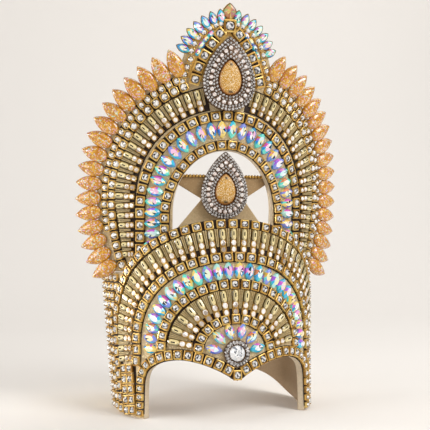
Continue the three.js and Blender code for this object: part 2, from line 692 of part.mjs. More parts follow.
for (const [label, side] of [['left', -1], ['right', 1]]) {
  addPiece(`halo_row_rim_${label}`, rimRow(side), GOLD_SET);
  for (let i = 0; i < PEACH_PER_SIDE; i += 1) {
    const angle = THREE.MathUtils.lerp(PEACH_FIRST_ANGLE, PEACH_LAST_ANGLE, i / (PEACH_PER_SIDE - 1));
    addPiece(`peach_${label}_${String(i + 1).padStart(2, '0')}`, peachStone(side, angle), PEACH);
  }
}

// The origin is the middle of the crown's footprint, on the surface that its two legs stand on
const box = new THREE.Box3().setFromObject(crown, true);
const middle = box.getCenter(new THREE.Vector3());
crown.position.set(-middle.x, -middle.y, -box.min.z);

export default crown;
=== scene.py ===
"""Costume crown: cloth-covered panels dressed with set crystals, sticks, iridescent and peach stones."""

import math
import zlib

import bpy
import numpy as np
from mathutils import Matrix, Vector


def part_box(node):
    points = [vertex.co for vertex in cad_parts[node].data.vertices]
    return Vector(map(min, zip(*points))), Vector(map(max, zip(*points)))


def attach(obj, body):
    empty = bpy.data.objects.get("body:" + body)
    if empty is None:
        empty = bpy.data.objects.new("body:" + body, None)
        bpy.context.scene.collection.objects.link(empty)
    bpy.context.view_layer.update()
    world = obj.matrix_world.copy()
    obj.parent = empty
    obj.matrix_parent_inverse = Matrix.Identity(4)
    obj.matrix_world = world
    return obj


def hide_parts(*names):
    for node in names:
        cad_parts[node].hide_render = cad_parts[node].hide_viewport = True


bl_info = {
    "name": "Costume crown",
    "version": (1, 0, 0),
    "blender": (4, 5, 0),
    "location": "3D View > Sidebar > Crown",
    "description": "Dresses the frame of a costume crown with cloth, crystals and stones",
    "category": "Object",
}

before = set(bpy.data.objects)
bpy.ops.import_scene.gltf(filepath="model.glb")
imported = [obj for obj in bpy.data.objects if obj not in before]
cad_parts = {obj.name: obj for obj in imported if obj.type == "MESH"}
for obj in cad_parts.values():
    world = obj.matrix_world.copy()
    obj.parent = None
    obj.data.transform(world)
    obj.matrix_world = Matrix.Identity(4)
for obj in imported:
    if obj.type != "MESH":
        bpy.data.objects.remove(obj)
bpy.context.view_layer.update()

# Tables and shapes are in millimetres, and meshes are built in metres
MM = 0.001
SIDES = ((-1, "left"), (1, "right"))

# Heights that both panels and their rows are measured from
ARCH_CENTRE = 60.6
HALO_CENTRE = 199.0
CREST_CENTRE = 305.0

# Brow panel: its edges, and the steps of its grid along them and upwards
BROW_THICKNESS = 6.3
BROW_END_ANGLE = 150.0
DOME_REACH, DOME_RISE = 133.0, 118.0
SHOULDER_HEIGHT, BACK_TOP_HEIGHT, SHOULDER_END_ANGLE = 130.0, 80.0, 98.0
LOWER_EDGE = (  # angle round the head, height
    (0, 36.5), (10, 46), (20, 52.4), (30, 54.8), (40, 52), (48, 45), (51.4, 36.8), (52.8, 26), (54.8, 0),
)
FOOT_ANGLES = (56.5, 86.0)
BACK_EDGE = ((88, 0), (101, 4.5), (110, 10), (120, 17), (132, 22.6), (150, 27))  # angle, height
LOWER_EDGE_STEPS, FOOT_STEPS, BACK_EDGE_STEPS, BROW_ROWS = 60, 14, 30, 17

# Halo panel: its edges, and the steps of its grid
HALO_THICKNESS = 6.3
HALO_REACH, HALO_RISE = 126.2, 122.4
WINDOW_CENTRE, WINDOW_REACH, WINDOW_RISE = 187.0, 48.8, 54.8
CREST_REACH, CREST_RISE = 45.0, 55.0
HALO_FOOT = (104.6, 130.7)
HALO_LEG_REACH, HALO_LEG_BOTTOM = 87.0, 118.0
HALO_FOOT_RIBS = ((182, -6), (166, -15), (148, -24))  # height at the window, angle at the rim
HALO_RIBS, HALO_LEG_STEPS, HALO_RIM_STEPS = 61, 9, 5

# Angles that part rounded edges and smooth faces, in degrees
EDGE_ANGLE, CLOTH_SMOOTH_ANGLE, STONE_SMOOTH_ANGLE = 50, 35, 50

# Plate across the window, and the bead chains along its top
BRIDGE_FRONT, BRIDGE_THICKNESS = -6.8, 3.0
BRIDGE_SECTIONS = ((150, 58), (172, 44), (198, 21.5), (215.5, 52), (220, 57))  # height, half width
BRIDGE_COLUMNS, BRIDGE_ROWS = 17, 22
BRIDGE_SHADE_HEIGHTS = (0.175, 0.2)  # heights in metres between which painted shade darkens its cloth towards the top
BRIDGE_BEADS = (  # along, height
    ((-49, 219), (-34, 219.2), (-20, 219)),
    ((20, 219), (34, 219.2), (49, 219)),
)
BEAD_COUNT, BEAD_SIZE = 10, (3.2, 3.2, 2.6)

# Rows of set crystals on arches: centre, reach, rise, sweep in degrees, lower end, count, half width
SET_ROWS = {
    "brow_arch_1": (ARCH_CENTRE, 33.8, 30, 162, None, 11, 4.2),
    "brow_arch_2": (ARCH_CENTRE, 68, 60.6, 170, None, 21, 4.2),
    "brow_arch_3": (ARCH_CENTRE, 95.6, 84.6, 180, (97.2, 51), 30, 4.2),
    "brow_arch_4": (ARCH_CENTRE, 128, 114, 180, (127, 5.6), 49, 3.8),
    "halo_row_inner": (180, 55.6, 67, 180, (55.6, 160), 24, 4),
    "halo_row_middle": (190, 78.6, 83.3, 180, (78.2, 152), 31, 4.2),
}
SET_DEPTH = 3.9
CUP_STRETCH = 1.06  # the longest cup, in its own widths
STONE_SEAT = 0.25  # how far a stone's base stands in front of the cloth
STRIP_STEP = 3.0

# Outer halo row up each side, then over the crest with a gold border and a dark strip under it
OUTER_REACH, OUTER_RISE, OUTER_FALL = 107.5, 107.0, 136.0
OUTER_END_HEIGHT, OUTER_TOP_ANGLE = 137.0, 68.0
OUTER_COUNT, OUTER_HALF_WIDTH, OUTER_DEPTH = 21, 4.2, 4.5
OGEE = ((30.2, 305), (27.2, 315.8), (22.2, 326.3), (15.6, 337), (9, 346.3), (0, 353.6))  # along, height
OGEE_CUP, OGEE_TOP_CUP, OGEE_SEAT = (9.6, 9.6, 4.8), (11.5, 11.5, 5.4), 0.4
OGEE_BORDER_HALF_WIDTH, OGEE_BORDER_HEIGHT, OGEE_STRIP_HALF_WIDTH = 7.0, 0.35, 4.6

# Rim rows between the outer row and the peach stones
RIM_REACH, RIM_RISE, RIM_ANGLES = 115.2, 114.5, (-14.1, 66.0)
RIM_COUNT, RIM_HALF_WIDTH, RIM_DEPTH = 22, 3.7, 3.3

# Columns on the brow's sides: angles round the head, and the least gap to the outermost arch
SIDE_COLUMNS = (64.2, 70.0, 75.0, 80.4, 86.0, 91.6)
SIDE_BOTTOM, SIDE_TOP, SIDE_ROWS, SIDE_CLEARANCE = 6.5, 125.0, 15, 6.6
SIDE_HALF_WIDTH, SIDE_DEPTH = 3.8, 3.5

# Chain along the brow's lower edge
EDGE_INSET, EDGE_TIP_SHARE, EDGE_STEPS = 4.5, 1.13, 61
EDGE_COUNT, EDGE_DEPTH = 33, 3.9
EDGE_WIDTHS = (8.8, 7.6)  # at the peak and at the legs
EDGE_CROWDING = 0.1  # how much closer the crystals stand on the legs

# Rows of sticks: centre, reach, rise, sweep, lower end, count, half length, braid between them, its width
HALO_STICKS_BOTTOM, HALO_STICKS_END_HALF_LENGTH = 147.0, 5.4
STICK_ROWS = {
    "brow_short_sticks": (ARCH_CENTRE, 50.8, 44.8, 158, None, 15, 11.2, "wide_rib", 5.5),
    "brow_long_sticks": (ARCH_CENTRE, 112, 99.4, 180, (112, 6), 49, 10.7, "rib", 4.1),
    "halo_sticks": (HALO_CENTRE, 94.2, 91, 180, (89.6, HALO_STICKS_BOTTOM), 45, 9.844, "rib", 3.5),
}
STICK_SEAT, STICK_DEPTH, STICK_MARGIN, STICK_STRIP_HEIGHT = 0.3, 3.6, 1.2, 0.4
STICK_MODEL_PITCH, STICK_MODEL_HALF_LENGTH, STICK_MODEL_DEPTH = 10.0, 10.0, 4.2
WIDEST_STICK = 1.05  # in widths of the modelled stick
RIB_SHIFT, RIB_LENGTH, RIB_HEIGHT = 0.24, 1.5, 1.7  # shift and length in half lengths of a stick
LONG_STICKS_END = 48.0  # height below which two crystals take a long stick's place
LEG_CUP_SHARE, LEG_CUP_GAPS = 0.86, (0.9, 0.5)
CREST_HIDES, CREST_HIDES_STRIP = 19.0, 17.0  # half widths behind the crest with no sticks and no strip

# Rows of long stones: centre, reach, rise, sweep, lower end, count, kind of stone, its size
LONG_ROWS = {
    "brow_marquise_row": (ARCH_CENTRE, 79.6, 72.4, 176, None, 26, "navette", (17.0, 9.0, 3.8)),
    "halo_marquise_row": (187, 67, 74.4, 180, (66.8, 156), 30, "navette", (17.0, 9.0, 3.8)),
    "brow_fan": (ARCH_CENTRE, 20.6, 19.8, 158, None, 6, "fan_navette", (16.4, 8.6, 3.8)),
    "crest_fan": (CREST_CENTRE, 47, 57, 122, None, 15, "framed_navette", (14.2, 7.2, 3.6)),
}
LONG_STONE_SEAT = 0.1
CREST_TOP_LIFT, CREST_TOP_SIZE = 4.0, (15.8, 12.4, 4.2)

# Small stones of the crest, one half: along, height
CREST_OVALS = ((27.9, 329.3), (24.9, 335.9), (21.0, 341.4), (16.5, 346.0))
CREST_CRYSTALS = (
    (41.6, 303), (39.8, 309.6), (37.6, 316.2), (34.6, 323), (34, 330.4),
    (31.4, 336.8), (28, 342.4), (23.2, 347), (18, 350.9), (12.4, 353.8), (7.6, 355.4),
)
CREST_OVAL_SIZE, CREST_CRYSTAL_SIZE = (7.6, 5.6, 3.2), (6.2, 6.2, 2.8)

# Peach stones on the rim: arch of their inner ends, lean of their tips, and splay towards the crest
PEACH_PER_SIDE = 17
PEACH_ANGLES = (-31.0, 69.0)
PEACH_REACH, PEACH_RISE, PEACH_SEAT = 119.3, 116.0, -0.2
PEACH_LEAN = 12.0
PEACH_SPLAY = (6.0, 30.0, 69.0)  # most, angle where it starts, angle where it ends
PEACH_SKEW = 0.13  # how far the widest place lies towards the inner end
PEACH_TIP_POINT, PEACH_INNER_POINT = 0.7, 0.05  # a higher power gives a sharper end
PEACH_BASE, PEACH_FULLNESS = 0.5, 0.8  # a lower power gives a fuller dome
PEACH_SEGMENTS, PEACH_RINGS = 24, 12

# Medallions on the halo's middle line: place in height, width, height, back, amber width, amber height
MEDALLIONS = {
    "crest": (310.3, 47.4, 66.4, 2.2, 20.6, 32.0),
    "window": (210.4, 45.0, 61.6, -6.0, 20.0, 29.0),
}
MEDALLION_DEPTH, MEDALLION_RIM_DROP = 7.0, 2.4
MEDALLION_BEVEL = (1.6, 2.2, 0.8)  # off the width, the height and the depth
TEARDROP_POINT, AMBER_POINT, AMBER_SHIFT, TEARDROP_SAMPLES = 0.7, 0.45, -3.6, 720
AMBER_SINK, AMBER_DOME, AMBER_SEGMENTS, AMBER_RINGS = 2.2, 5.0, 48, 16
COLLAR_DROP = 0.6
COLLAR = ((2.4, -COLLAR_DROP), (1.4, 0.4), (0.6, -AMBER_SINK))  # growth of the amber's outline, height
AMBER_HOLES, AMBER_HOLE_RADIUS = (-0.41, 0.36), 1.5
MEDALLION_RINGS = (  # stone, share of the way from the outer edge to the amber, size, count
    ("paved", 0.1, 3.2, 52), ("paved", 0.29, 2.8, 50), ("pearl", 0.5, 4.5, 24), ("paved", 0.7, 2.6, 36),
    ("paved", 0.89, 2.8, 30),
)
PAVED_HEIGHT, PAVED_SINK = 0.55, 0.5  # height in stone sizes, depth in the metal
MEDALLION_SHADE = 0.8

# Rosette on the brow and its large crystal
ROSETTE_RADIUS, ROSETTE_COUNT, ROSETTE_STONE, ROSETTE_SEAT = 9.6, 22, (3.4, 4.4, 2.4), 2.6
ROSETTE_BAND = {"half_width": 2.3, "low": 0.8, "high": 3.0}
BROW_CRYSTAL, BROW_CRYSTAL_SEAT = (15.2, 15.2, 5.4), 1.6

# Stage, lamps and camera, in metres and degrees
STAGE_SIZE, STAGE_PLACE, STAGE_WALL = 8.0, (0, -2.2, 0), 4.0
STAGE_BEND, STAGE_BEND_STEPS = 1.0, 16
CROWN_MIDDLE = (0, -0.05, 0.18)
WARM_WHITE = (1.0, 0.985, 0.97)
LAMPS = {  # place, aim, size, colour, spread
    "key": ((0.85, -1.15, 1.15), CROWN_MIDDLE, 0.8, (1.0, 0.98, 0.96), 180),
    "fill": ((-1.75, -0.5, 0.6), CROWN_MIDDLE, 1.0, WARM_WHITE, 180),
    "edge": ((-1.3, 0.5, 0.2), (0, 0, 0.06), 0.3, WARM_WHITE, 30),
    "back": ((0.9, 0.6, 1.9), (0.6, 1.2, 0.2), 1.6, WARM_WHITE, 180),
}
WORLD_COLOUR, WORLD_STRENGTH = "f4f1ee", 0.46
CAMERA_PLACE = (-0.2185, -0.8275, 0.1615)
CAMERA_TURN = 15.08  # to the right of straight ahead
CAMERA_LENS = 73.26
CAMERA_SHIFT = 0.0547  # the photo's horizon is high
CAMERA_CLIP = 0.05


def linear(code):
    """A colour written as six hex digits, as the linear values that sockets hold."""
    values = [int(code[i : i + 2], 16) / 255 for i in (0, 2, 4)]
    return [v / 12.92 if v <= 0.04045 else ((v + 0.055) / 1.055) ** 2.4 for v in values]


def length_property(name, description, millimetres):
    length = millimetres * MM
    return bpy.props.FloatProperty(name=name, description=description, default=length, unit="LENGTH")


def power_property(name, description, watts):
    return bpy.props.FloatProperty(name=name, description=description, default=watts, unit="POWER")


def colour_property(name, description, code):
    return bpy.props.FloatVectorProperty(
        name=name, description=description, default=linear(code), subtype="COLOR", size=3, min=0, max=1
    )


class CrownSizes(bpy.types.PropertyGroup):
    cloth_round: length_property("Cloth edge", "Rounding of the padded panels' edges", 1.5)
    # The margin shows the dark strip beside each row as a thin line, partly backing and partly painted
    # shade
    strip_margin: length_property("Strip margin", "How far the dark strip shows beside a row", 0.5)
    cup_gap: length_property("Cup gap", "Least gap between two cups of a row", 1.5)
    peach_length: length_property("Peach length", "Length of a peach stone", 27.2)
    peach_width: length_property("Peach width", "Width of a peach stone", 14.6)
    peach_depth: length_property("Peach depth", "Height of a peach stone's dome", 5.6)
    key_power: power_property("Key light", "Power of the main lamp", 17.4)
    fill_power: power_property("Fill light", "Power of the lamp on the left", 12.0)
    edge_power: power_property("Edge light", "Power of the low lamp behind the left side", 0.4)
    back_power: power_property("Back light", "Power of the lamp over the backdrop", 12.4)


class CrownColours(bpy.types.PropertyGroup):
    cloth: colour_property("Cloth", "Glitter cloth on the panels' fronts", "cdb68c")
    cloth_edge: colour_property("Cloth edge", "Pale strip round the panels' edges", "dac9ae")
    cloth_inside: colour_property("Cloth inside", "Backs of the panels", "b29876")
    bridge: colour_property("Bridge", "Cloth on the plate across the window", "d3bd94")
    # Painted shade: the bridge cloth's darker colour on its upper half
    bridge_top: colour_property("Bridge top", "The same cloth on its upper half", "a3865e")
    cord: colour_property("Cord", "Ribbed braid between the sticks", "c8b07a")
    gold: colour_property("Gold", "Cups and prongs", "e6b860")
    stick: colour_property("Stick", "Plates under the baguettes", "c09f5c")
    # Colour of the dark strip, partly a dark backing and partly painted shade
    strip: colour_property("Strip", "Dark strip under the cups", "26160a")
    peach_base: colour_property("Peach base", "Inner end of a peach stone", "cc8c22")
    peach_tip: colour_property("Peach tip", "Outer end of a peach stone", "b67a2a")
    amber: colour_property("Amber", "Glitter cabochons", "dba133")
    paved: colour_property("Paved metal", "Metal between the small stones", "6a4f36")
    stage: colour_property("Stage", "Floor and backdrop", "f3f0ec")


def sizes():
    return bpy.context.scene.crown_sizes


def colours():
    return bpy.context.scene.crown_colours


# The two curved panels


class PanelFace:
    """The front of a curved panel. A place on it is millimetres along, up and out."""

    def __init__(self, radius, wrap_radius, flare, centre_y, lean):
        self.radius, self.wrap_radius, self.flare = radius, wrap_radius, flare
        self.centre_y, self.lean = centre_y, lean

    def at(self, along, height, out=0.0):
        along, height, out = np.broadcast_arrays(*(np.asarray(v, float) for v in (along, height, out)))
        angle = along / self.wrap_radius
        radius = self.radius + self.flare * height + out
        y = self.centre_y + self.lean * height - radius * np.cos(angle)
        return np.stack([radius * np.sin(angle), y, height], axis=-1)

    def frames(self, places, steps):
        """Unit axes along a row, across it and out of the face, as a matrix's columns for each place."""
        angle = places[:, 0] / self.wrap_radius
        radius = self.radius + self.flare * places[:, 1]
        sine, cosine, nothing = np.sin(angle), np.cos(angle), np.zeros_like(angle)
        round_head = np.stack([cosine, sine, nothing], axis=-1) * (radius / self.wrap_radius)[:, None]
        upward = np.stack([self.flare * sine, self.lean - self.flare * cosine, nothing + 1], axis=-1)
        out = unit(np.cross(round_head, upward))
        along = unit(round_head * steps[:, :1] + upward * steps[:, 1:])
        return np.stack([along, np.cross(out, along), out], axis=-1)


def unit(vectors):
    return vectors / np.linalg.norm(vectors, axis=-1, keepdims=True)


BROW = PanelFace(radius=93.1, wrap_radius=98.0, flare=0.06, centre_y=57.0, lean=0.166)
HALO = PanelFace(radius=153.9, wrap_radius=153.9, flare=0.0, centre_y=175.5, lean=-0.08)

# The frame's origin is the middle of the footprint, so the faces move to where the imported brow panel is
FRAME_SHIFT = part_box("brow_panel")[0].y / MM - BROW.at(0, LOWER_EDGE[0][1])[1]
BROW.centre_y += FRAME_SHIFT
HALO.centre_y += FRAME_SHIFT


def girth(angle):
    """Millimetres along the brow panel at an angle round the head."""
    return math.radians(angle) * BROW.wrap_radius


def mirrored(path):
    return np.asarray(path, float) * (-1, 1)


def running_length(path):
    return np.concatenate([[0.0], np.cumsum(np.hypot(*np.diff(path, axis=0).T))])


def on_path(path, where):
    length = running_length(path)
    return np.stack([np.interp(where, length, path[:, k]) for k in (0, 1)], axis=-1)


def spaced(path, count):
    """Places at even steps along a path, and the direction of the path at each."""
    total = running_length(path)[-1]
    where = np.linspace(0, total, count)
    near = total / count / 6  # a small part of a step
    ahead = on_path(path, np.minimum(where + near, total))
    behind = on_path(path, np.maximum(where - near, 0))
    return on_path(path, where), ahead - behind


def eased(share):
    """A share from 0 to 1 that starts and ends gently."""
    share = np.clip(share, 0, 1)
    return share * share * (3 - 2 * share)


def directions(path, where):
    """The direction of a path at some lengths along it."""
    return on_path(path, where + 0.5) - on_path(path, where - 0.5)


def smooth_curve(points, steps=16):
    """A smooth curve through points, each stretch steered by its two neighbours."""
    points = np.asarray(points, float)
    ends = np.vstack([points[:1], points, points[-1:]])
    t = np.linspace(0, 1, steps, endpoint=False)[:, None]
    curve = []
    for a, b, c, d in zip(ends, ends[1:], ends[2:], ends[3:]):
        bend = (2 * a - 5 * b + 4 * c - d) * t**2 + (3 * (b - c) + d - a) * t**3
        curve.append(b + 0.5 * ((c - a) * t + bend))
    return np.vstack([*curve, points[-1:]])


def ellipse(reach, rise, centre, start, stop, steps=90):
    turn = np.radians(np.linspace(start, stop, steps))
    return np.stack([reach * np.cos(turn), centre + rise * np.sin(turn)], axis=-1)


def face_of(name):
    return BROW if name.startswith("brow") else HALO


def arch_path(centre, reach, rise, sweep=180, end=None):
    """An arch from left to right, with straight runs down to its lower ends."""
    tilt = (180 - sweep) / 2
    path = ellipse(reach, rise, centre, 180 - tilt, tilt)
    if end:
        path = np.vstack([mirrored([end]), path, [end]])
    return path


def lower_edge():
    return smooth_curve([(girth(angle), height) for angle, height in LOWER_EDGE])


def edge_chain_path():
    edge = spaced(lower_edge(), EDGE_STEPS)[0]
    step = np.gradient(edge, axis=0)
    inset = edge + EDGE_INSET * unit(np.stack([-step[:, 1], step[:, 0]], axis=-1))
    right = inset[(inset[:, 0] > EDGE_INSET) & (inset[:, 1] > EDGE_INSET)]
    tip = [[0, LOWER_EDGE[0][1] + EDGE_INSET * EDGE_TIP_SHARE]]
    return smooth_curve(np.vstack([mirrored(right)[::-1], tip, right]), steps=4)


def outer_row_path():
    """The right half of the halo's outer row, up to the crest."""
    lowest = math.degrees(math.asin((OUTER_END_HEIGHT - HALO_CENTRE) / OUTER_FALL))
    low = ellipse(OUTER_REACH, OUTER_FALL, HALO_CENTRE, lowest, 0)
    return np.vstack([low, ellipse(OUTER_REACH, OUTER_RISE, HALO_CENTRE, 0, OUTER_TOP_ANGLE)[1:]])


# Shader node groups and finishes

FLECK_STOPS = (("ffffff", 0.0), ("a8e8c8", 0.25), ("e89ad0", 0.5), ("ffe89a", 0.75), ("c48ae8", 1.0))
TARNISH_PATCHES, TARNISH_BRIGHT, TARNISH_DULL = (0.3, 0.7), 0.2, 0.42
CLOTH_SCALE, CLOTH_DARKER, CLOTH_LIGHTER = 900.0, 0.38, 0.22
AMBER_DEEPER = 0.6
STAGE_DARKER = 0.985

# Bumps: strength, and distance in metres
CLOTH_BUMP, PEACH_BUMP, AMBER_BUMP = (0.5, 0.0004), (0.4, 0.0008), (0.5, 0.0004)

# Ranges of a mask or a noise, and the shares of a colour that they become
SHADE_RANGE, SPARKLE_RANGE = (0.2, 0.6), (0.86, 0.9)
PEACH_PALE_CLOUDS, PEACH_DEEP_CLOUDS = ((0.52, 0.66), (0.0, 0.7)), ((0.34, 0.48), (0.7, 0.0))
PEACH_TIP_RANGE = (0.3, 1.0)
PEACH_FLECKS, PEACH_EDGE = ((0.05, 0.4), (0.0, 0.75)), ((0.0, 0.22), (0.85, 0.0))
AMBER_GLEAM, AMBER_EDGE = ((0.7, 0.8), (0.0, 0.85)), ((0.2, 0.6), (0.85, 0.0))

# Colours that a user has no need to change
SPARKLE_COLOUR = linear("fff1cc")
GOLD_DEEP_COLOUR, STRIP_DEEP_COLOUR = linear("4a2c10"), linear("1d1108")
PEACH_PALE_COLOUR, PEACH_DEEP_COLOUR = linear("f0c248"), linear("b8701c")
PEACH_EDGE_COLOUR, AMBER_EDGE_COLOUR = linear("9a5a1c"), linear("b4621a")
AMBER_GLEAM_COLOUR, AMBER_HOLE_SHADE = linear("fff0cc"), linear("2a1606")


def fill_socket(tree, socket, value):
    """Links a socket to another one, or sets its value. A colour gets its alpha."""
    if isinstance(value, bpy.types.NodeSocket):
        tree.links.new(value, socket)
    else:
        socket.default_value = (*value, 1.0) if socket.type == "RGBA" else value


def add_node(tree, kind, inputs=None, **settings):
    """Adds a shader node and fills its inputs with values or links."""
    made = tree.nodes.new("ShaderNode" + kind)
    for key, value in settings.items():
        setattr(made, key, value)
    for key, value in (inputs or {}).items():
        fill_socket(tree, made.inputs[key], value)
    return made


def mix_colours(tree, share, first, second, blend="MIX"):
    inputs = {0: share, 6: first, 7: second}
    return add_node(tree, "Mix", inputs, data_type="RGBA", blend_type=blend).outputs[2]


def spread(tree, value, between, to=(0.0, 1.0)):
    """Maps a value from one range to another, and no further."""
    names = ("Value", "From Min", "From Max", "To Min", "To Max")
    return add_node(tree, "MapRange", dict(zip(names, (value, *between, *to)))).outputs["Result"]


def calculate(tree, operation, *values):
    return add_node(tree, "Math", dict(enumerate(values)), operation=operation).outputs[0]


def split_colour(tree, colour):
    return add_node(tree, "SeparateColor", {0: colour}).outputs


def new_group(name, inputs, outputs):
    """A shader node group: returns its tree, its inputs and a function that links its outputs."""
    tree = bpy.data.node_groups.new(name, "ShaderNodeTree")
    for in_out, sockets in (("INPUT", inputs), ("OUTPUT", outputs)):
        for socket, kind in sockets.items():
            tree.interface.new_socket(socket, in_out=in_out, socket_type="NodeSocket" + kind)
    given, result = tree.nodes.new("NodeGroupInput"), tree.nodes.new("NodeGroupOutput")

    def link(socket, value):
        tree.links.new(value, result.inputs[socket])

    return tree, given.outputs, link


def cloth_grain_group():
    """Fine woven glitter: uneven shade, bright sparkles and a grainy height."""
    tree, given, link = new_group(
        "cloth_grain",
        {"Vector": "Vector", "Scale": "Float"},
        {"Shade": "Float", "Sparkle": "Float", "Height": "Float"},
    )
    scaled = add_node(tree, "VectorMath", {0: given["Vector"], "Scale": given["Scale"]}, operation="SCALE")
    where = scaled.outputs["Vector"]
    coarse = add_node(tree, "TexNoise", {"Vector": where, "Scale": 0.5, "Detail": 3.0}).outputs["Fac"]
    fine = add_node(tree, "TexNoise", {"Vector": where, "Scale": 1.6, "Detail": 2.0}).outputs["Fac"]
    flakes = add_node(tree, "TexVoronoi", {"Vector": where, "Scale": 1.3})
    pick = split_colour(tree, flakes.outputs["Color"])[0]
    link("Shade", spread(tree, calculate(tree, "MULTIPLY_ADD", coarse, fine, 0.12), SHADE_RANGE))
    link("Sparkle", spread(tree, pick, SPARKLE_RANGE))
    link("Height", fine)
    return tree


def glitter_flecks_group():
    """Foil flakes inside a clear stone: a mask of flakes and their own colours."""
    tree, given, link = new_group(
        "glitter_flecks",
        {"Vector": "Vector", "Scale": "Float", "Cover": "Float"},
        {"Mask": "Float", "Colour": "Color"},
    )
    flakes = add_node(tree, "TexVoronoi", {"Vector": given["Vector"], "Scale": given["Scale"]})
    parts = split_colour(tree, flakes.outputs["Color"])
    bare = calculate(tree, "SUBTRACT", 1.0, given["Cover"])
    ramp = add_node(tree, "ValToRGB", {0: parts[1]})
    fill_ramp(ramp.color_ramp, FLECK_STOPS)
    link("Mask", calculate(tree, "GREATER_THAN", parts[0], bare))
    link("Colour", ramp.outputs["Color"])
    return tree


def tarnish_group():
    """Uneven metal: darker and duller in patches."""
    tree, given, link = new_group("tarnish", {"Vector": "Vector"}, {"Shade": "Float", "Roughness": "Float"})
    inputs = {"Vector": given["Vector"], "Scale": 260.0, "Detail": 3.0}
    patches = add_node(tree, "TexNoise", inputs).outputs["Fac"]
    link("Shade", spread(tree, patches, TARNISH_PATCHES, (0.85, 1.0)))
    link("Roughness", spread(tree, patches, TARNISH_PATCHES, (TARNISH_DULL, TARNISH_BRIGHT)))
    return tree


def fill_ramp(ramp, stops):
    while len(ramp.elements) > 1:
        ramp.elements.remove(ramp.elements[-1])
    ramp.elements[0].position = stops[0][1]
    ramp.elements[0].color = (*linear(stops[0][0]), 1)
    for code, position in stops[1:]:
        ramp.elements.new(position).color = (*linear(code), 1)


GROUPS = {
    "cloth_grain": cloth_grain_group,
    "glitter_flecks": glitter_flecks_group,
    "tarnish": tarnish_group,
}


def place_group(tree, name, inputs):
    group = bpy.data.node_groups.get(name) or GROUPS[name]()
    return add_node(tree, "Group", inputs, node_tree=group).outputs


def new_finish(name, **constants):
    """A new material: returns its tree and a function that links its Principled shader's sockets."""
    material = bpy.data.materials.new(name)
    material.use_nodes = True
    tree = material.node_tree
    shader = tree.nodes["Principled BSDF"]
    for key, value in constants.items():
        shader.inputs[key.replace("_", " ").title().replace("Ior", "IOR")].default_value = value

    def link(socket, value):
        tree.links.new(value, shader.inputs[socket])

    return tree, link


def object_place(tree):
    return add_node(tree, "TexCoord").outputs["Object"]


def facet_tint(tree):
    return add_node(tree, "Attribute", attribute_name="tint").outputs["Color"]


def bump(tree, height, strength, distance):
    inputs = {"Height": height, "Strength": strength, "Distance": distance}
    return add_node(tree, "Bump", inputs).outputs["Normal"]


def cloth_finish(name, colour, sparkle_share, contrast, painted_shade_colour):
    tree, link = new_finish(name, sheen_weight=0.25, sheen_roughness=0.4)
    grain = place_group(tree, "cloth_grain", {"Vector": object_place(tree), "Scale": CLOTH_SCALE})
    colour = getattr(colours(), colour)
    dark = [c * (1 - CLOTH_DARKER * contrast) for c in colour]
    light = [min(c * (1 + CLOTH_LIGHTER * contrast), 1) for c in colour]
    shade = mix_colours(tree, grain["Shade"], dark, light)
    # Painted shade: above a height the cloth turns to its darker, shaded colour
    if painted_shade_colour:
        height = add_node(tree, "SeparateXYZ", {0: object_place(tree)}).outputs[2]
        shade = mix_colours(tree, spread(tree, height, BRIDGE_SHADE_HEIGHTS), shade, getattr(colours(), painted_shade_colour))
    sparkle = spread(tree, grain["Sparkle"], (0.0, 1.0), (0.0, sparkle_share))
    link("Base Color", mix_colours(tree, sparkle, shade, SPARKLE_COLOUR))
    link("Metallic", sparkle)
    link("Roughness", spread(tree, sparkle, (0.0, 1.0), (0.78, 0.3)))
    link("Normal", bump(tree, grain["Height"], *CLOTH_BUMP))


def gold_finish(name, colour):
    tree, link = new_finish(name, metallic=0.4)
    metal = place_group(tree, "tarnish", {"Vector": object_place(tree)})
    tinted = mix_colours(tree, 1.0, facet_tint(tree), getattr(colours(), colour), "MULTIPLY")
    link("Base Color", mix_colours(tree, metal["Shade"], GOLD_DEEP_COLOUR, tinted))
    link("Roughness", metal["Roughness"])


# The dark strip: partly the rows' dark backing, partly painted shade in the gaps between cups and sticks
def strip_finish(name):
    tree, link = new_finish(name, metallic=0.2)
    metal = place_group(tree, "tarnish", {"Vector": object_place(tree)})
    link("Base Color", mix_colours(tree, metal["Shade"], STRIP_DEEP_COLOUR, colours().strip))
    link("Roughness", spread(tree, metal["Roughness"], (TARNISH_BRIGHT, TARNISH_DULL), (0.6, 0.9)))


def cut_glass_finish(name):
    """Foil-backed glass: facet tints paint the highlights, shade and reflections of the cut, and the coat
    gives the polish.
    """
    tree, link = new_finish(name, roughness=0.12, coat_weight=1.0, coat_roughness=0.03)
    link("Base Color", facet_tint(tree))


def peach_finish(name):
    """Honey glass with clouds and foil flakes, deeper in colour at its edge."""
    tree, link = new_finish(name, roughness=0.18, coat_weight=0.9, coat_roughness=0.04)
    along, rise, _ = split_colour(tree, facet_tint(tree))
    where = object_place(tree)
    tip = spread(tree, along, PEACH_TIP_RANGE)
    body = mix_colours(tree, tip, colours().peach_base, colours().peach_tip)
    cloud = add_node(tree, "TexNoise", {"Vector": where, "Scale": 420.0, "Detail": 2.0}).outputs["Fac"]
    body = mix_colours(tree, spread(tree, cloud, *PEACH_PALE_CLOUDS), body, PEACH_PALE_COLOUR)
    body = mix_colours(tree, spread(tree, cloud, *PEACH_DEEP_CLOUDS), body, PEACH_DEEP_COLOUR)
    flecks = place_group(tree, "glitter_flecks", {"Vector": where, "Scale": 950.0, "Cover": 0.23})
    share = calculate(tree, "MULTIPLY", flecks["Mask"], spread(tree, rise, *PEACH_FLECKS))
    body = mix_colours(tree, share, body, flecks["Colour"])
    link("Base Color", mix_colours(tree, spread(tree, rise, *PEACH_EDGE), body, PEACH_EDGE_COLOUR))
    link("Normal", bump(tree, cloud, *PEACH_BUMP))


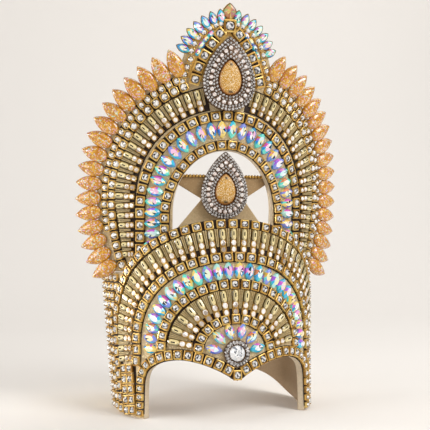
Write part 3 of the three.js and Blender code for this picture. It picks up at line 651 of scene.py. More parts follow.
def amber_finish(name):
    """Packed amber grains, browner at the edge, with painted shade where its holes are."""
    tree, link = new_finish(name, roughness=0.55, coat_weight=0.25, coat_roughness=0.25)
    grains = add_node(tree, "TexVoronoi", {"Vector": object_place(tree), "Scale": 2000.0})
    grain, gleam, _ = split_colour(tree, grains.outputs["Color"])
    rise, clear, _ = split_colour(tree, facet_tint(tree))
    body = mix_colours(tree, grain, [c * AMBER_DEEPER for c in colours().amber], colours().amber)
    body = mix_colours(tree, spread(tree, gleam, *AMBER_GLEAM), body, AMBER_GLEAM_COLOUR)
    body = mix_colours(tree, spread(tree, rise, *AMBER_EDGE), body, AMBER_EDGE_COLOUR)
    link("Base Color", mix_colours(tree, clear, AMBER_HOLE_SHADE, body))
    link("Normal", bump(tree, grain, *AMBER_BUMP))


def stage_finish(name):
    tree, link = new_finish(name, roughness=0.95)
    noise = add_node(tree, "TexNoise", {"Vector": object_place(tree), "Scale": 3.0}).outputs["Fac"]
    pale = colours().stage
    link("Base Color", mix_colours(tree, noise, [c * STAGE_DARKER for c in pale], pale))


FINISHES = {  # what makes each finish, and its own looks
    "glitter_cloth": (cloth_finish, "cloth", 0.55, 1.0, None),
    "bridge_cloth": (cloth_finish, "bridge", 0.1, 0.6, "bridge_top"),
    "cloth_edge": (cloth_finish, "cloth_edge", 0.1, 0.5, None),
    "cloth_inside": (cloth_finish, "cloth_inside", 0.0, 0.35, None),
    "cord": (cloth_finish, "cord", 0.3, 1.0, None),
    "gold_cup": (gold_finish, "gold"),
    "stick_gold": (gold_finish, "stick"),
    "paved_metal": (gold_finish, "paved"),
    "dark_strip": (strip_finish,),
    "peach_glitter": (peach_finish,),
    "amber_glitter": (amber_finish,),
    "stage_paper": (stage_finish,),
}
made_finishes = {}


def finish(name):
    """The material of that name, made when it is first needed. One without an entry is cut glass."""
    if name not in made_finishes:
        make, *look = FINISHES.get(name, (cut_glass_finish,))
        make(name, *look)
        made_finishes[name] = bpy.data.materials[name]
    return made_finishes[name]


# Facet tints, as linear colours. A stone's tinter gets its facets' own normals and middles, and their
# normals as the stone lies on the crown.

LEVEL = 0.9  # how upright the normal of a level facet is at least
TINT_SPREAD, BAGUETTE_SPREAD = (0.9, 1.05), (0.85, 1.08)  # how much darker and brighter a tint may be
UPWARD, END_FACET = 0.05, 0.62  # normals of a long stone's upper facets and of those at its ends
SLIT_LEVEL = 0.8  # of a baguette's height
SETTING_REACH, SETTING_LEVEL, INWARD = 0.6, 0.45, -0.02  # what counts as the inside of a cup, where shadow is painted


def tint_table(*codes):
    return np.array([linear(code) for code in codes])


# Painted highlights and reflections of clear, milky, pale, paved and bright stones: white, grey and dark
# facets
CLEAR_REFLECTION_TINTS = tint_table("f6f5f3", "cdccca", "ffffff", "94949a", "ecebe9", "74757a", "ffffff", "bcbbba")
CLEAR_TABLE_REFLECTION_TINTS = tint_table(
    "474a52", "2a2c30", "5a5d64", "bcbdc0", "ffffff", "d8d8d8", "f7f7f5", "8c8e92"
)
MILKY_TINTS = tint_table("ffffff", "f0e8e2", "cfc4bb", "ffffff", "a89a8e", "f8f3ee")
PALE_TINTS = tint_table("ffffff", "f7f3ee", "ffffff", "b8b4b0", "ffffff", "6e6c6a", "f4f0ea", "dcd8d2")
PAVED_TINTS = tint_table("b0adaa", "e0dedc", "6e6864", "f6f5f5", "94908e", "c2bfbd", "514a45")
BRIGHT_TINTS = tint_table("ffffff", "f2f4f6", "ffffff", "d9dde2", "fafafa", "8d939c", "e8ebee", "4a4f58")
PEARL_TINTS = tint_table("fbf6f0", "e6d6cc", "ffffff", "cdb9b2", "f0e4e0")
# Painted light on the baguette: highlight on top, shade down the sides and on one side, shadow in the slit
BAGUETTE_LIT_TO_SHADED_TINTS = tint_table("eddba2", "b59d58", "6b5729", "453516")
BAGUETTE_SHADE, BAGUETTE_SHADED_SIDE = 0.45, -0.2
BAGUETTE_SLIT_SHADOW = linear("241a08")
# Painted highlights and shade on gold facets, and the painted shadow inside a setting
GOLD_HIGHLIGHT_AND_SHADE_TINTS = np.array(
    [(1.05, 1.25, 1.7), (1, 1, 1), (0.42, 0.34, 0.22), (1, 1.08, 1.2), (0.76, 0.69, 0.55)]
)
GOLD_SHADOW = 0.22
# Painted reflections of the iridescent coating, picked by which way each facet faces on the crown
UPPER_TINTS = tint_table("ea58bc", "f28c58", "f5c04c", "dc66d8", "f290cc", "ac68ea")
LOWER_TINTS = tint_table("2cc0f4", "1a98ee", "50dcf6", "28a8e8", "4c78ec", "70e6ea")
END_TINTS = tint_table("3cc8f0", "6ce8d8", "8c9cf4", "f7dc78", "3a98d0", "b8f2ea")
MIDDLE_TINTS = tint_table("fbf6c8", "ffffff", "f0fbe0", "fcf4ff", "d8f6fa", "ffe8b0", "f8c8e8")
MIDDLE_SLIT, MIDDLE_SLIT_SHARE = linear("20363c"), 0.12
FLASH_SHARES = (0.6, 0.25, 0.15)
# Painted reflections of the warm coated stone, a tint for each facet at random
WARM_TINTS = tint_table("c98a5a", "b8764a", "d9a070", "b08074", "d8c870", "a8c078")


def some(rng, tints, count):
    """Random picks from a few tints, each a little brighter or darker."""
    picked = tints[rng.integers(len(tints), size=count)]
    return np.clip(picked * rng.uniform(*TINT_SPREAD, (count, 1)), 0, 1)


def round_pick(rng, tints, middles):
    """Tints that go round a stone in their own order, from a random start."""
    turn = np.arctan2(middles[:, 1], middles[:, 0]) / (2 * np.pi)
    step = np.floor((turn + rng.random()) * len(tints)).astype(int) % len(tints)
    return np.clip(tints[step] * rng.uniform(*TINT_SPREAD, (len(middles), 1)), 0, 1)


def crystal_tints(rng, local, middles, turned):
    # Painted reflection: a dark table with a few bright facets, ringed by white and grey facets
    table = round_pick(rng, CLEAR_TABLE_REFLECTION_TINTS, middles)
    return np.where(local[:, 2:] > LEVEL, table, round_pick(rng, CLEAR_REFLECTION_TINTS, middles))


def ringed(tints):
    """A tinter whose tints go round the stone."""
    return lambda rng, local, middles, turned: round_pick(rng, tints, middles)


def mixed(tints):
    """A tinter that picks a tint for each facet."""
    return lambda rng, local, middles, turned: some(rng, tints, len(local))


def baguette_tints(rng, local, middles, turned):
    """Painted light on champagne glass: a cream highlight on top, darker olive down the sides, one side in
    painted shade and a painted shadow in the slit.
    """
    level = np.clip(((1 - local[:, 2]) * len(BAGUETTE_LIT_TO_SHADED_TINTS)).astype(int), 0, len(BAGUETTE_LIT_TO_SHADED_TINTS) - 1)
    tints = BAGUETTE_LIT_TO_SHADED_TINTS[level] * rng.uniform(*BAGUETTE_SPREAD, (len(local), 1))
    tints = tints * np.where(local[:, :1] < BAGUETTE_SHADED_SIDE, BAGUETTE_SHADE, 1)
    sunk = (middles[:, 2:] < SLIT_LEVEL * middles[:, 2].max()) & (local[:, 2:] > LEVEL)
    return np.clip(np.where(sunk, BAGUETTE_SLIT_SHADOW, tints), 0, 1)


def iridescent_tints(rng, local, middles, turned):
    """Painted reflections of the coating: pink flashes on the facets that face up, blue on those that face
    down, pale in the middle, and here and there a painted dark slit.
    """
    count = len(local)
    tables = (UPPER_TINTS, LOWER_TINTS, END_TINTS, MIDDLE_TINTS)
    upper, lower, ends, middle = (some(rng, table, len(FLASH_SHARES)) for table in tables)
    pick = rng.choice(len(FLASH_SHARES), size=count, p=FLASH_SHARES)
    tints = np.where(turned[:, 2:] > UPWARD, upper[pick], lower[pick])
    tints = np.where(np.abs(local[:, :1]) > END_FACET, ends[pick], tints)
    slit = rng.random((count, 1)) < MIDDLE_SLIT_SHARE
    return np.where(local[:, 2:] > LEVEL, np.where(slit, MIDDLE_SLIT, middle[pick]), tints)


def metal_tints(rng, local, middles, turned):
    """Painted highlights and shade: pale, plain and deep facets picked at random at the rim, and painted
    shadow on the facets inside the setting.
    """
    near = np.abs(middles[:, :2]).max(axis=1, keepdims=True) < SETTING_REACH
    inward = (local[:, :2] * middles[:, :2]).sum(axis=1, keepdims=True) < INWARD
    inside = near & (inward | ((local[:, 2:] > LEVEL) & (middles[:, 2:] < SETTING_LEVEL)))
    picked = GOLD_HIGHLIGHT_AND_SHADE_TINTS[rng.integers(len(GOLD_HIGHLIGHT_AND_SHADE_TINTS), size=len(local))]
    return np.where(inside, GOLD_SHADOW, picked)


TINTERS = {
    "gold_cup": metal_tints,
    "cut_crystal": crystal_tints,
    "milky_crystal": ringed(MILKY_TINTS),
    "pale_crystal": ringed(PALE_TINTS),
    "bright_crystal": mixed(BRIGHT_TINTS),
    "paved_crystal": mixed(PAVED_TINTS),
    "paved_pearl": mixed(PEARL_TINTS),
    "baguette": baguette_tints,
    "iridescent": iridescent_tints,
    "warm_iridescent": mixed(WARM_TINTS),
}


# Stones, each modelled once in units of its own size, apart from the stick

UPRIGHT = 0.99  # how much of an upright edge's length is rise
GIRDLE_TAPER, TABLE_INSET = 0.9, 0.34  # in radii of a cut stone
GIRDLE_SHARE, SLOPE_SHARE, STAR_SHARE = 0.45, 0.5, 0.05  # of a cut stone's height
CUP_RIM_SHARE = 0.12  # of a square cup's height
CLAW_RADII, CLAW_SIDES, CLAW_TIP_SHARE, CLAW_LEAN, CLAW_POINT = (0.11, 0.09), 5, 0.6, 0.2, 0.04
ROUND_CUP_TAPER, ROUND_CUP_WALL, ROUND_CUP_SINK = 0.95, 0.16, 0.4
RIDGE_TOP_SHARE = 0.4
LENS_EVENNESS = 0.6
NAVETTE_SIDES, PAVED_SIDES, BIG_CRYSTAL_SIDES = 12, 6, 16
PAVED_STONE, BIG_CRYSTAL, BIG_CRYSTAL_INSET = (0.48, 0.25, 0.75), (0.5, 0, 0.8), (0.08, 0.16)
NAVETTE_FRAME, PAVED_COLLAR, PAVED_COLLAR_BASE = (0.55, 0.53, 0.3), (0.56, 0.46, 0.5), -0.1

# Crystals in cups one unit wide: the cup's height, wall, sink and cut corner, the claws' place and height,
# and the crystal's radius, base, height and finish
CUPPED_CRYSTALS = {
    "set_crystal": ((0.56, 0.15, 0.3, 0.07), (0.4, 0.84), (0.36, 0.4, 0.6), "cut_crystal"),
    "claw_crystal": ((0.5, 0.12, 0.2, 0.2), (0.38, 0.8), (0.385, 0.35, 0.6), "pale_crystal"),
}

# The stick in millimetres: a plate, a baguette on its outer half and two round cups with crystals
STICK_PLATE, STICK_PLATE_INSET = (6.0, 19.6, 1.4), (0.5, -0.4)
STICK_CUPS, STICK_CUP_HEIGHT = ((-2.1, 3.05), (-7.7, 2.75)), 2.6  # place along the stick, radius
STICK_CRYSTAL_SHARE, STICK_CRYSTAL_BASE, STICK_CRYSTAL_HEIGHT = 0.93, 1.5, 2.1
BAGUETTE_SIZE, BAGUETTE_PLACE, BAGUETTE_CORNER = (5.6, 9.6, 2.4), (0, 4.9, 0.4), 2.3
BAGUETTE_INSETS = ((0.45, 0.4), (1.1, 0.7), (0.3, 0))
SLIT_SHARE, SLIT_CENTRE, SLIT_DEPTH = 0.62, (0, 6.4, 4), 1.2


def deselect_all():
    bpy.ops.object.select_all(action="DESELECT")


def pick(kind, test):
    """Leaves edit mode on, with only the faces or edges that pass the test selected."""
    bpy.ops.object.mode_set(mode="EDIT")
    bpy.ops.mesh.select_mode(type=kind)
    bpy.ops.mesh.select_all(action="DESELECT")
    bpy.ops.object.mode_set(mode="OBJECT")
    mesh = bpy.context.object.data
    for item in mesh.polygons if kind == "FACE" else mesh.edges:
        item.select = test(item)
    bpy.ops.object.mode_set(mode="EDIT")


def leave_edit_mode():
    bpy.ops.object.mode_set(mode="OBJECT")


def stands_upright(edge):
    vertices = bpy.context.object.data.vertices
    rise = vertices[edge.vertices[0]].co - vertices[edge.vertices[1]].co
    return abs(rise.z) > UPRIGHT * rise.length


def faces_up(face):
    return face.normal.z > LEVEL


def faces_down(face):
    return face.normal.z < -LEVEL


def drop_underside():
    pick("FACE", faces_down)
    bpy.ops.mesh.delete(type="FACE")
    leave_edit_mode()


def add_cone(sides, bottom, top, height, place):
    """A cut cone that stands on a place."""
    x, y, base = place
    deselect_all()
    bpy.ops.mesh.primitive_cone_add(
        vertices=sides, radius1=bottom, radius2=top, depth=height, location=(x, y, base + height / 2)
    )


def add_box(size, place=(0, 0, 0), corner=0.0, segments=1):
    """A box that stands on a place, open below. Its upright edges may be cut."""
    x, y, base = place
    deselect_all()
    bpy.ops.mesh.primitive_cube_add(size=1, location=(x, y, base + size[2] / 2), scale=size)
    bpy.ops.object.transform_apply(location=True, scale=True)
    if corner:
        pick("EDGE", stands_upright)
        bpy.ops.mesh.bevel(offset=corner, segments=segments, affect="EDGES")
        leave_edit_mode()
    drop_underside()


def sink(depth):
    """Sinks the picked faces and leaves edit mode."""
    bpy.ops.mesh.extrude_region_move(TRANSFORM_OT_translate={"value": (0, 0, -depth)})
    leave_edit_mode()


def wear(name):
    """Gives the active piece its finish and returns it."""
    piece = bpy.context.object
    piece.data.materials.clear()
    piece.data.materials.append(finish(name))
    return piece


def joined(pieces):
    deselect_all()
    for piece in pieces:
        piece.select_set(True)
    bpy.context.view_layer.objects.active = pieces[0]
    bpy.ops.object.transform_apply(location=True, rotation=True, scale=True)
    if len(pieces) > 1:
        bpy.ops.object.join()
    return bpy.context.object


def model_brilliant(radius, base, height, place=(0, 0), sides=8, name="iridescent"):
    """A round cut stone: a girdle, a sloping ring and a star-cut table."""
    add_cone(sides, radius, radius * GIRDLE_TAPER, height * GIRDLE_SHARE, (*place, base))
    drop_underside()
    pick("FACE", faces_up)
    bpy.ops.mesh.inset(thickness=radius * TABLE_INSET, depth=height * SLOPE_SHARE)
    top = (*place, base + height)
    bpy.ops.transform.rotate(value=math.pi / sides, orient_axis="Z", center_override=top)
    bpy.ops.mesh.poke(offset=height * STAR_SHARE)
    leave_edit_mode()
    return wear(name)


def model_box_cup(height, wall, depth, corner):
    """A square cup with cut corners, a raised rim and a sunk top."""
    add_box((1, 1, height), corner=corner)
    pick("FACE", faces_up)
    bpy.ops.mesh.inset(thickness=wall / 2, depth=height * CUP_RIM_SHARE)
    bpy.ops.mesh.inset(thickness=wall / 2)
    sink(depth)
    return wear("gold_cup")


def model_claw(x, y, height):
    """A claw at a cup's corner, narrower at its tip and leaning over the stone."""
    add_cone(CLAW_SIDES, *CLAW_RADII, height, (x, y, 0))
    drop_underside()
    pick("FACE", faces_up)
    bpy.ops.transform.resize(value=(CLAW_TIP_SHARE, CLAW_TIP_SHARE, 1), center_override=(x, y, height))
    bpy.ops.transform.translate(value=(-CLAW_LEAN * x, -CLAW_LEAN * y, CLAW_POINT))
    leave_edit_mode()
    return wear("gold_cup")


def model_cupped_crystal(cup, claw, crystal, name):
    """A round crystal in a gold cup with four claws."""
    corner, claw_height = claw
    pieces = [model_box_cup(*cup)]
    pieces += [model_claw(x, y, claw_height) for x in (-corner, corner) for y in (-corner, corner)]
    pieces.append(model_brilliant(*crystal, name=name))
    return joined(pieces)


def model_round_cup(radius, height, y):
    """A small round gold cup."""
    add_cone(8, radius, radius * ROUND_CUP_TAPER, height, (0, y, 0))
    drop_underside()
    pick("FACE", faces_up)
    bpy.ops.mesh.inset(thickness=radius * ROUND_CUP_WALL)
    sink(height * ROUND_CUP_SINK)
    return wear("gold_cup")


def model_stick():
    """A plate with a baguette on its outer half and two round crystals, in millimetres."""
    pieces = [model_stick_plate(), model_baguette()]
    for y, radius in STICK_CUPS:
        pieces.append(model_round_cup(radius, STICK_CUP_HEIGHT, y))
        crystal = (radius * STICK_CRYSTAL_SHARE, STICK_CRYSTAL_BASE, STICK_CRYSTAL_HEIGHT)
        pieces.append(model_brilliant(*crystal, (0, y), name="milky_crystal"))
    return joined(pieces)


def model_stick_plate():
    thickness, depth = STICK_PLATE_INSET
    add_box(STICK_PLATE)
    pick("FACE", faces_up)
    bpy.ops.mesh.inset(thickness=thickness, depth=depth)
    leave_edit_mode()
    return wear("stick_gold")


def model_baguette():
    """A long stone with rounded ends, stepped up to a slit in its table."""
    add_box(BAGUETTE_SIZE, BAGUETTE_PLACE, BAGUETTE_CORNER, segments=2)
    pick("FACE", faces_up)
    for thickness, depth in BAGUETTE_INSETS:
        bpy.ops.mesh.inset(thickness=thickness, depth=depth)
    bpy.ops.transform.resize(value=(SLIT_SHARE, SLIT_SHARE, 1), center_override=SLIT_CENTRE)
    sink(SLIT_DEPTH)
    return wear("baguette")


def model_rib(ridges, taper):
    """A wedge of ribbed braid between two sticks, narrower at its inner end."""
    pieces = []
    for i in range(ridges):
        x = (i + 0.5) / ridges - 0.5
        add_box((1 / ridges, 1, 1), (x, 0, 0))
        pick("FACE", faces_up)
        bpy.ops.transform.resize(value=(RIDGE_TOP_SHARE, 1, 1), center_override=(x, 0, 1))
        leave_edit_mode()
        pieces.append(wear("cord"))
    return reshape(joined(pieces), lambda x, y, z: (x * (1 - (1 - taper) * (0.5 - y)), y, z))


def points_of(mesh):
    return np.array([v.co for v in mesh.vertices])


def move_points(mesh, points):
    mesh.vertices.foreach_set("co", points.ravel())
    mesh.update()


def reshape(piece, shape):
    """Moves a piece's points by a function of their three coordinates."""
    moved = np.broadcast_arrays(*shape(*points_of(piece.data).T))
    move_points(piece.data, np.stack(moved, axis=-1))
    return piece


def lens_shape(bulge):
    """Draws a round stone's ends out to points along its first axis. A larger bulge gives fuller sides."""

    def shape(x, y, z):
        radius = np.hypot(x, y)
        share = x / np.maximum(radius, 1e-6)
        share = LENS_EVENNESS * share + (1 - LENS_EVENNESS) * share**3
        return radius * share, radius * np.sign(y) * (1 - np.abs(share) ** bulge), z

    return shape


def model_navette(bulge, name="iridescent"):
    """A long pointed stone with a ring of facets round a cut table, lying along its first axis."""
    return joined([reshape(model_brilliant(0.5, 0, 1, sides=NAVETTE_SIDES, name=name), lens_shape(bulge))])


def model_framed_navette(bulge, name="iridescent"):
    """The same stone in a thin gold frame."""
    cut = model_navette(bulge, name)
    add_cone(NAVETTE_SIDES, *NAVETTE_FRAME, (0, 0, 0))
    return joined([cut, reshape(wear("gold_cup"), lens_shape(bulge))])


def model_paved(name):
    """A small stone in a metal collar."""
    pieces = [model_brilliant(*PAVED_STONE, sides=PAVED_SIDES, name=name)]
    add_cone(PAVED_SIDES, *PAVED_COLLAR, (0, 0, PAVED_COLLAR_BASE))
    drop_underside()
    pieces.append(wear("paved_metal"))
    return joined(pieces)


def model_big_crystal():
    """The brow's large round stone, with a star of facets."""
    thickness, depth = BIG_CRYSTAL_INSET
    piece = model_brilliant(*BIG_CRYSTAL, sides=BIG_CRYSTAL_SIDES, name="bright_crystal")
    pick("FACE", faces_up)
    bpy.ops.mesh.inset(thickness=thickness, depth=depth)
    bpy.ops.mesh.poke()
    leave_edit_mode()
    return joined([piece])


class CutStone:
    """A modelled stone, read into arrays and then stamped many times."""

    def __init__(self, piece):
        faces = piece.data.polygons
        names = [slot.name for slot in piece.data.materials]
        self.points = points_of(piece.data)
        self.faces = [list(face.vertices) for face in faces]
        self.normals = np.array([face.normal for face in faces])
        self.middles = np.array([face.center for face in faces])
        self.finishes = [names[face.material_index] for face in faces]
        self.groups = {name: np.flatnonzero([f == name for f in self.finishes]) for name in names}
        bpy.data.objects.remove(piece)


STONES = {
    "set_crystal": lambda: model_cupped_crystal(*CUPPED_CRYSTALS["set_crystal"]),
    "claw_crystal": lambda: model_cupped_crystal(*CUPPED_CRYSTALS["claw_crystal"]),
    "stick": model_stick,
    "rib": lambda: model_rib(2, 0.55),
    "wide_rib": lambda: model_rib(3, 0.4),
    "navette": lambda: model_navette(2.9),
    "fan_navette": lambda: model_navette(2.2),
    "framed_navette": lambda: model_framed_navette(2.6),
    "warm_navette": lambda: model_framed_navette(2.0, "warm_iridescent"),
    "oval": lambda: joined([model_brilliant(0.5, 0, 0.9)]),
    "paved": lambda: model_paved("paved_crystal"),
    "pearl": lambda: model_paved("paved_pearl"),
    "gold_bead": lambda: model_paved("gold_cup"),
    "big_crystal": model_big_crystal,
}
cut_stones = {}


def stone(name):
    """The stone of that name, modelled when it is first needed."""
    if name not in cut_stones:
        cut_stones[name] = CutStone(STONES[name]())
    return cut_stones[name]


class StoneMesh:
    """Gathers strips and stamped stones into one mesh, with a tint for each facet."""

    def __init__(self, name):
        self.name = name
        self.rng = np.random.default_rng(zlib.crc32(name.encode()))
        self.points, self.faces, self.finishes, self.tints = [], [], [], []
        self.count = 0

    def add(self, points, faces, finishes, tints):
        self.faces += [[i + self.count for i in face] for face in faces]
        self.points.append(points)
        self.finishes += finishes
        self.tints.append(tints)
        self.count += len(points)

    def stamp(self, kind, origin, axes, size):
        """Adds one stone of that kind, with its own random tints."""
        cut = stone(kind)
        turned = cut.normals @ axes.T
        tints = np.ones((len(cut.faces), 3))
        for name, members in cut.groups.items():
            if name in TINTERS:
                facets = cut.normals[members], cut.middles[members], turned[members]
                tints[members] = TINTERS[name](self.rng, *facets)
        self.add(origin + (cut.points * size) @ axes.T, cut.faces, cut.finishes, tints)

    def strip(self, face, path, half_width, low=0.05, high=0.6, name="dark_strip"):
        """Adds a flat strip that follows a path on a panel."""
        places, steps = spaced(path, max(4, int(running_length(path)[-1] / STRIP_STEP)))
        across = unit(np.stack([-steps[:, 1], steps[:, 0]], axis=-1)) * half_width
        corners = ((across, low), (across, high), (-across, high), (-across, low))
        loops = np.stack([face.at(*(places + side).T, out) for side, out in corners], axis=1)
        count = len(places)
        quads = [[4 * i + k, 4 * i + (k + 1) % 4, 4 * i + 4 + (k + 1) % 4, 4 * i + 4 + k]
                 for i in range(count - 1) for k in range(4)]
        ends = [[3, 2, 1, 0], [4 * count - 4 + k for k in range(4)]]
        faces = quads + ends
        self.add(loops.reshape(-1, 3), faces, [name] * len(faces), np.ones((len(faces), 3)))

    def build(self):
        piece = new_piece(self.name, np.vstack(self.points), self.faces, self.finishes)
        paint(piece.data, np.repeat(np.vstack(self.tints), [len(face) for face in self.faces], axis=0))
        return piece


def new_piece(name, points, faces, finishes):
    """A piece from points in millimetres, with a finish for each face."""
    names = list(dict.fromkeys(finishes))
    mesh = bpy.data.meshes.new(name)
    mesh.from_pydata((points * MM).tolist(), [], faces)
    for worn in names:
        mesh.materials.append(finish(worn))
    mesh.polygons.foreach_set("material_index", [names.index(worn) for worn in finishes])
    return link_piece(name, mesh)


def link_piece(name, mesh):
    piece = bpy.data.objects.new(name, mesh)
    bpy.context.scene.collection.objects.link(piece)
    return piece


def paint(mesh, corner_tints):
    tint = mesh.color_attributes.new("tint", "FLOAT_COLOR", "CORNER")
    solid = np.ones((len(corner_tints), 1))
    tint.data.foreach_set("color", np.hstack([corner_tints, solid]).ravel())


def paint_points(mesh, tints):
    """Gives each corner the tint of its point."""
    paint(mesh, tints[[loop.vertex_index for loop in mesh.loops]])


def settle(piece, slot, *nodes):
    """Fixes a finished piece to the crown, in the place of the frame's nodes."""
    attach(piece, "root")
    if nodes:
        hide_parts(*nodes)
    return piece


# Rows of stones


def stamp_row(mesh, face, kind, places, steps, size, out=STONE_SEAT):
    axes = face.frames(places, steps)
    origins = face.at(*places.T, out)
    for origin, turn, measure in zip(origins, axes, np.broadcast_to(size, (len(places), 3))):
        mesh.stamp(kind, origin, turn, measure)


def stamp_set_row(mesh, face, path, count, half_width, depth, kind="set_crystal"):
    """A row of set crystals on their dark strip, partly a dark backing and partly painted shade between the
    cups.
    """
    mesh.strip(face, path, half_width + sizes().strip_margin / MM)
    pitch = running_length(path)[-1] / (count - 1)
    places, steps = spaced(path, count)
    length = min(pitch - sizes().cup_gap / MM, CUP_STRETCH * 2 * half_width)
    stamp_row(mesh, face, kind, places, steps, (length, 2 * half_width, depth))


def column_heights(angle, arch):
    """Heights of a side column's crystals, from the top down to where the outermost arch is in the way."""
    heights = np.linspace(SIDE_TOP, SIDE_BOTTOM, SIDE_ROWS)
    gaps = np.array([np.hypot(*(arch - (girth(angle), height)).T).min() for height in heights])
    blocked = np.flatnonzero(gaps < SIDE_CLEARANCE)
    return heights[: blocked[0]] if len(blocked) else heights


def stamp_side_columns(mesh):
    *arch, _, _ = SET_ROWS["brow_arch_4"]
    pitch = (SIDE_TOP - SIDE_BOTTOM) / (SIDE_ROWS - 1)
    size = (pitch - sizes().cup_gap / MM, 2 * SIDE_HALF_WIDTH, SIDE_DEPTH)
    for angle in SIDE_COLUMNS:
        heights = column_heights(angle, arch_path(*arch))[::-1]
        for side, _ in SIDES:
            places = np.array([(side * girth(angle), height) for height in heights]).reshape(-1, 2)
            if len(places) > 1:
                mesh.strip(BROW, places, SIDE_HALF_WIDTH + sizes().strip_margin / MM)
            stamp_row(mesh, BROW, "claw_crystal", places, np.full(places.shape, (0.0, 1.0)), size)


def stamp_edge_chain(mesh):
    """Crystals along the lower edge, smaller and closer together on the legs."""
    path = edge_chain_path()
    at_peak, at_legs = EDGE_WIDTHS
    mesh.strip(BROW, path, at_peak / 2 + sizes().strip_margin / MM)
    share = np.linspace(-1, 1, EDGE_COUNT)
    half = running_length(path)[-1] / 2
    where = half * (1 + share * (1 + EDGE_CROWDING * (1 - share * share)))
    widths = at_peak + (at_legs - at_peak) * share * share
    lengths = np.minimum(np.gradient(where) - sizes().cup_gap / MM, CUP_STRETCH * widths)
    size = np.stack([lengths, widths, np.full(EDGE_COUNT, EDGE_DEPTH)], axis=-1)
    stamp_row(mesh, BROW, "set_crystal", on_path(path, where), directions(path, where), size)


def build_set_rows():
    for name, (*arch, count, half_width) in SET_ROWS.items():
        mesh = StoneMesh(name + "_crystals")
        stamp_set_row(mesh, face_of(name), arch_path(*arch), count, half_width, SET_DEPTH)
        if name == "brow_arch_4":
            stamp_side_columns(mesh)
        settle(mesh.build(), "gold_set_crystal", name)
    mesh = StoneMesh("brow_edge_chain_crystals")
    stamp_edge_chain(mesh)
    settle(mesh.build(), "gold_set_crystal", "brow_edge_chain")
    build_outer_row()
    for side, label in SIDES:
        mesh = StoneMesh(f"halo_row_rim_{label}_crystals")
        path = ellipse(RIM_REACH, RIM_RISE, HALO_CENTRE, *RIM_ANGLES) * (side, 1)
        stamp_set_row(mesh, HALO, path, RIM_COUNT, RIM_HALF_WIDTH, RIM_DEPTH, "claw_crystal")
        settle(mesh.build(), "gold_set_crystal", f"halo_row_rim_{label}")


def build_outer_row():
    mesh = StoneMesh("halo_row_outer_crystals")
    right = outer_row_path()
    for path in (right, mirrored(right)):
        stamp_set_row(mesh, HALO, path, OUTER_COUNT, OUTER_HALF_WIDTH, OUTER_DEPTH, "claw_crystal")
    ogee = np.array([*OGEE, *mirrored(OGEE[-2::-1])], float)
    size = np.full((len(ogee), 3), OGEE_CUP)
    size[len(OGEE) - 1] = OGEE_TOP_CUP
    curve = smooth_curve(ogee)
    mesh.strip(HALO, curve, OGEE_BORDER_HALF_WIDTH, high=OGEE_BORDER_HEIGHT, name="gold_cup")
    mesh.strip(HALO, curve, OGEE_STRIP_HALF_WIDTH)
    stamp_row(mesh, HALO, "set_crystal", ogee, np.gradient(ogee, axis=0), size, out=OGEE_SEAT)
    settle(mesh.build(), "gold_set_crystal", "halo_row_outer")


def build_stick_rows():
    for name, (*arch, count, half_length, rib, rib_width) in STICK_ROWS.items():
        mesh = StoneMesh(name + "_stones")
        path = arch_path(*arch)
        pitch = running_length(path)[-1] / (count - 1)
        for part in stick_strips(name, path):
            # The dark strip under the sticks: painted shade in the gaps between them, partly a dark backing
            mesh.strip(face_of(name), part, half_length + STICK_MARGIN, high=STICK_STRIP_HEIGHT)
        for place, step in zip(*spaced(path, count)):
            stamp_stick(mesh, name, place, step, pitch, half_length)
        stamp_ribs(mesh, name, rib, path, (np.arange(count - 1) + 0.5) * pitch, half_length, rib_width)
        settle(mesh.build(), "gold_set_crystal", name)


def stick_strips(name, path):
    """The stretches of a row's path that have a strip: the crest medallion parts the halo's row."""
    if name != "halo_sticks":
        return [path]
    return [path[path[:, 0] < -CREST_HIDES_STRIP], path[path[:, 0] > CREST_HIDES_STRIP]]


def own_half_length(name, place, half_length):
    """Half a stick's own length, shorter towards the halo's feet, or none where there are no sticks."""
    along, height = place
    if name == "brow_long_sticks" and height < LONG_STICKS_END:
        return 0.0
    if name == "halo_sticks":
        if abs(along) < CREST_HIDES:
            return 0.0
        share = max(0.0, (HALO_CENTRE - height) / (HALO_CENTRE - HALO_STICKS_BOTTOM))
        return half_length + share * (HALO_STICKS_END_HALF_LENGTH - half_length)
    return half_length


def stick_seat(name, place, step):
    """Where a stick or a rib lies on its panel, and its axes."""
    face = face_of(name)
    return face.at(*place, STICK_SEAT), face.frames(place[None], step[None])[0]


def stamp_stick(mesh, name, place, step, pitch, half_length):
    """One stick, or near the foot of a leg the two crystals that take its place."""
    origin, turn = stick_seat(name, place, step)
    own = own_half_length(name, place, half_length)
    if own:
        wide = min(pitch / STICK_MODEL_PITCH, WIDEST_STICK)
        size = (wide, own / STICK_MODEL_HALF_LENGTH, STICK_DEPTH / STICK_MODEL_DEPTH)
        mesh.stamp("stick", origin, turn, size)
    elif name == "brow_long_sticks":
        wide = half_length * LEG_CUP_SHARE
        size = (pitch - LEG_CUP_GAPS[0], wide - LEG_CUP_GAPS[1], STICK_DEPTH)
        for side in (-0.5, 0.5):
            mesh.stamp("set_crystal", origin + turn[:, 1] * side * wide, turn, size)


def stamp_ribs(mesh, name, rib, path, where, half_length, rib_width):
    """Ribbed braid between the sticks, in the middle of each gap."""
    for place, step in zip(on_path(path, where), directions(path, where)):
        own = own_half_length(name, place, half_length)
        if own:
            origin, turn = stick_seat(name, place, step)
            size = (rib_width, own * RIB_LENGTH, RIB_HEIGHT)
            mesh.stamp(rib, origin + turn[:, 1] * own * RIB_SHIFT, turn, size)


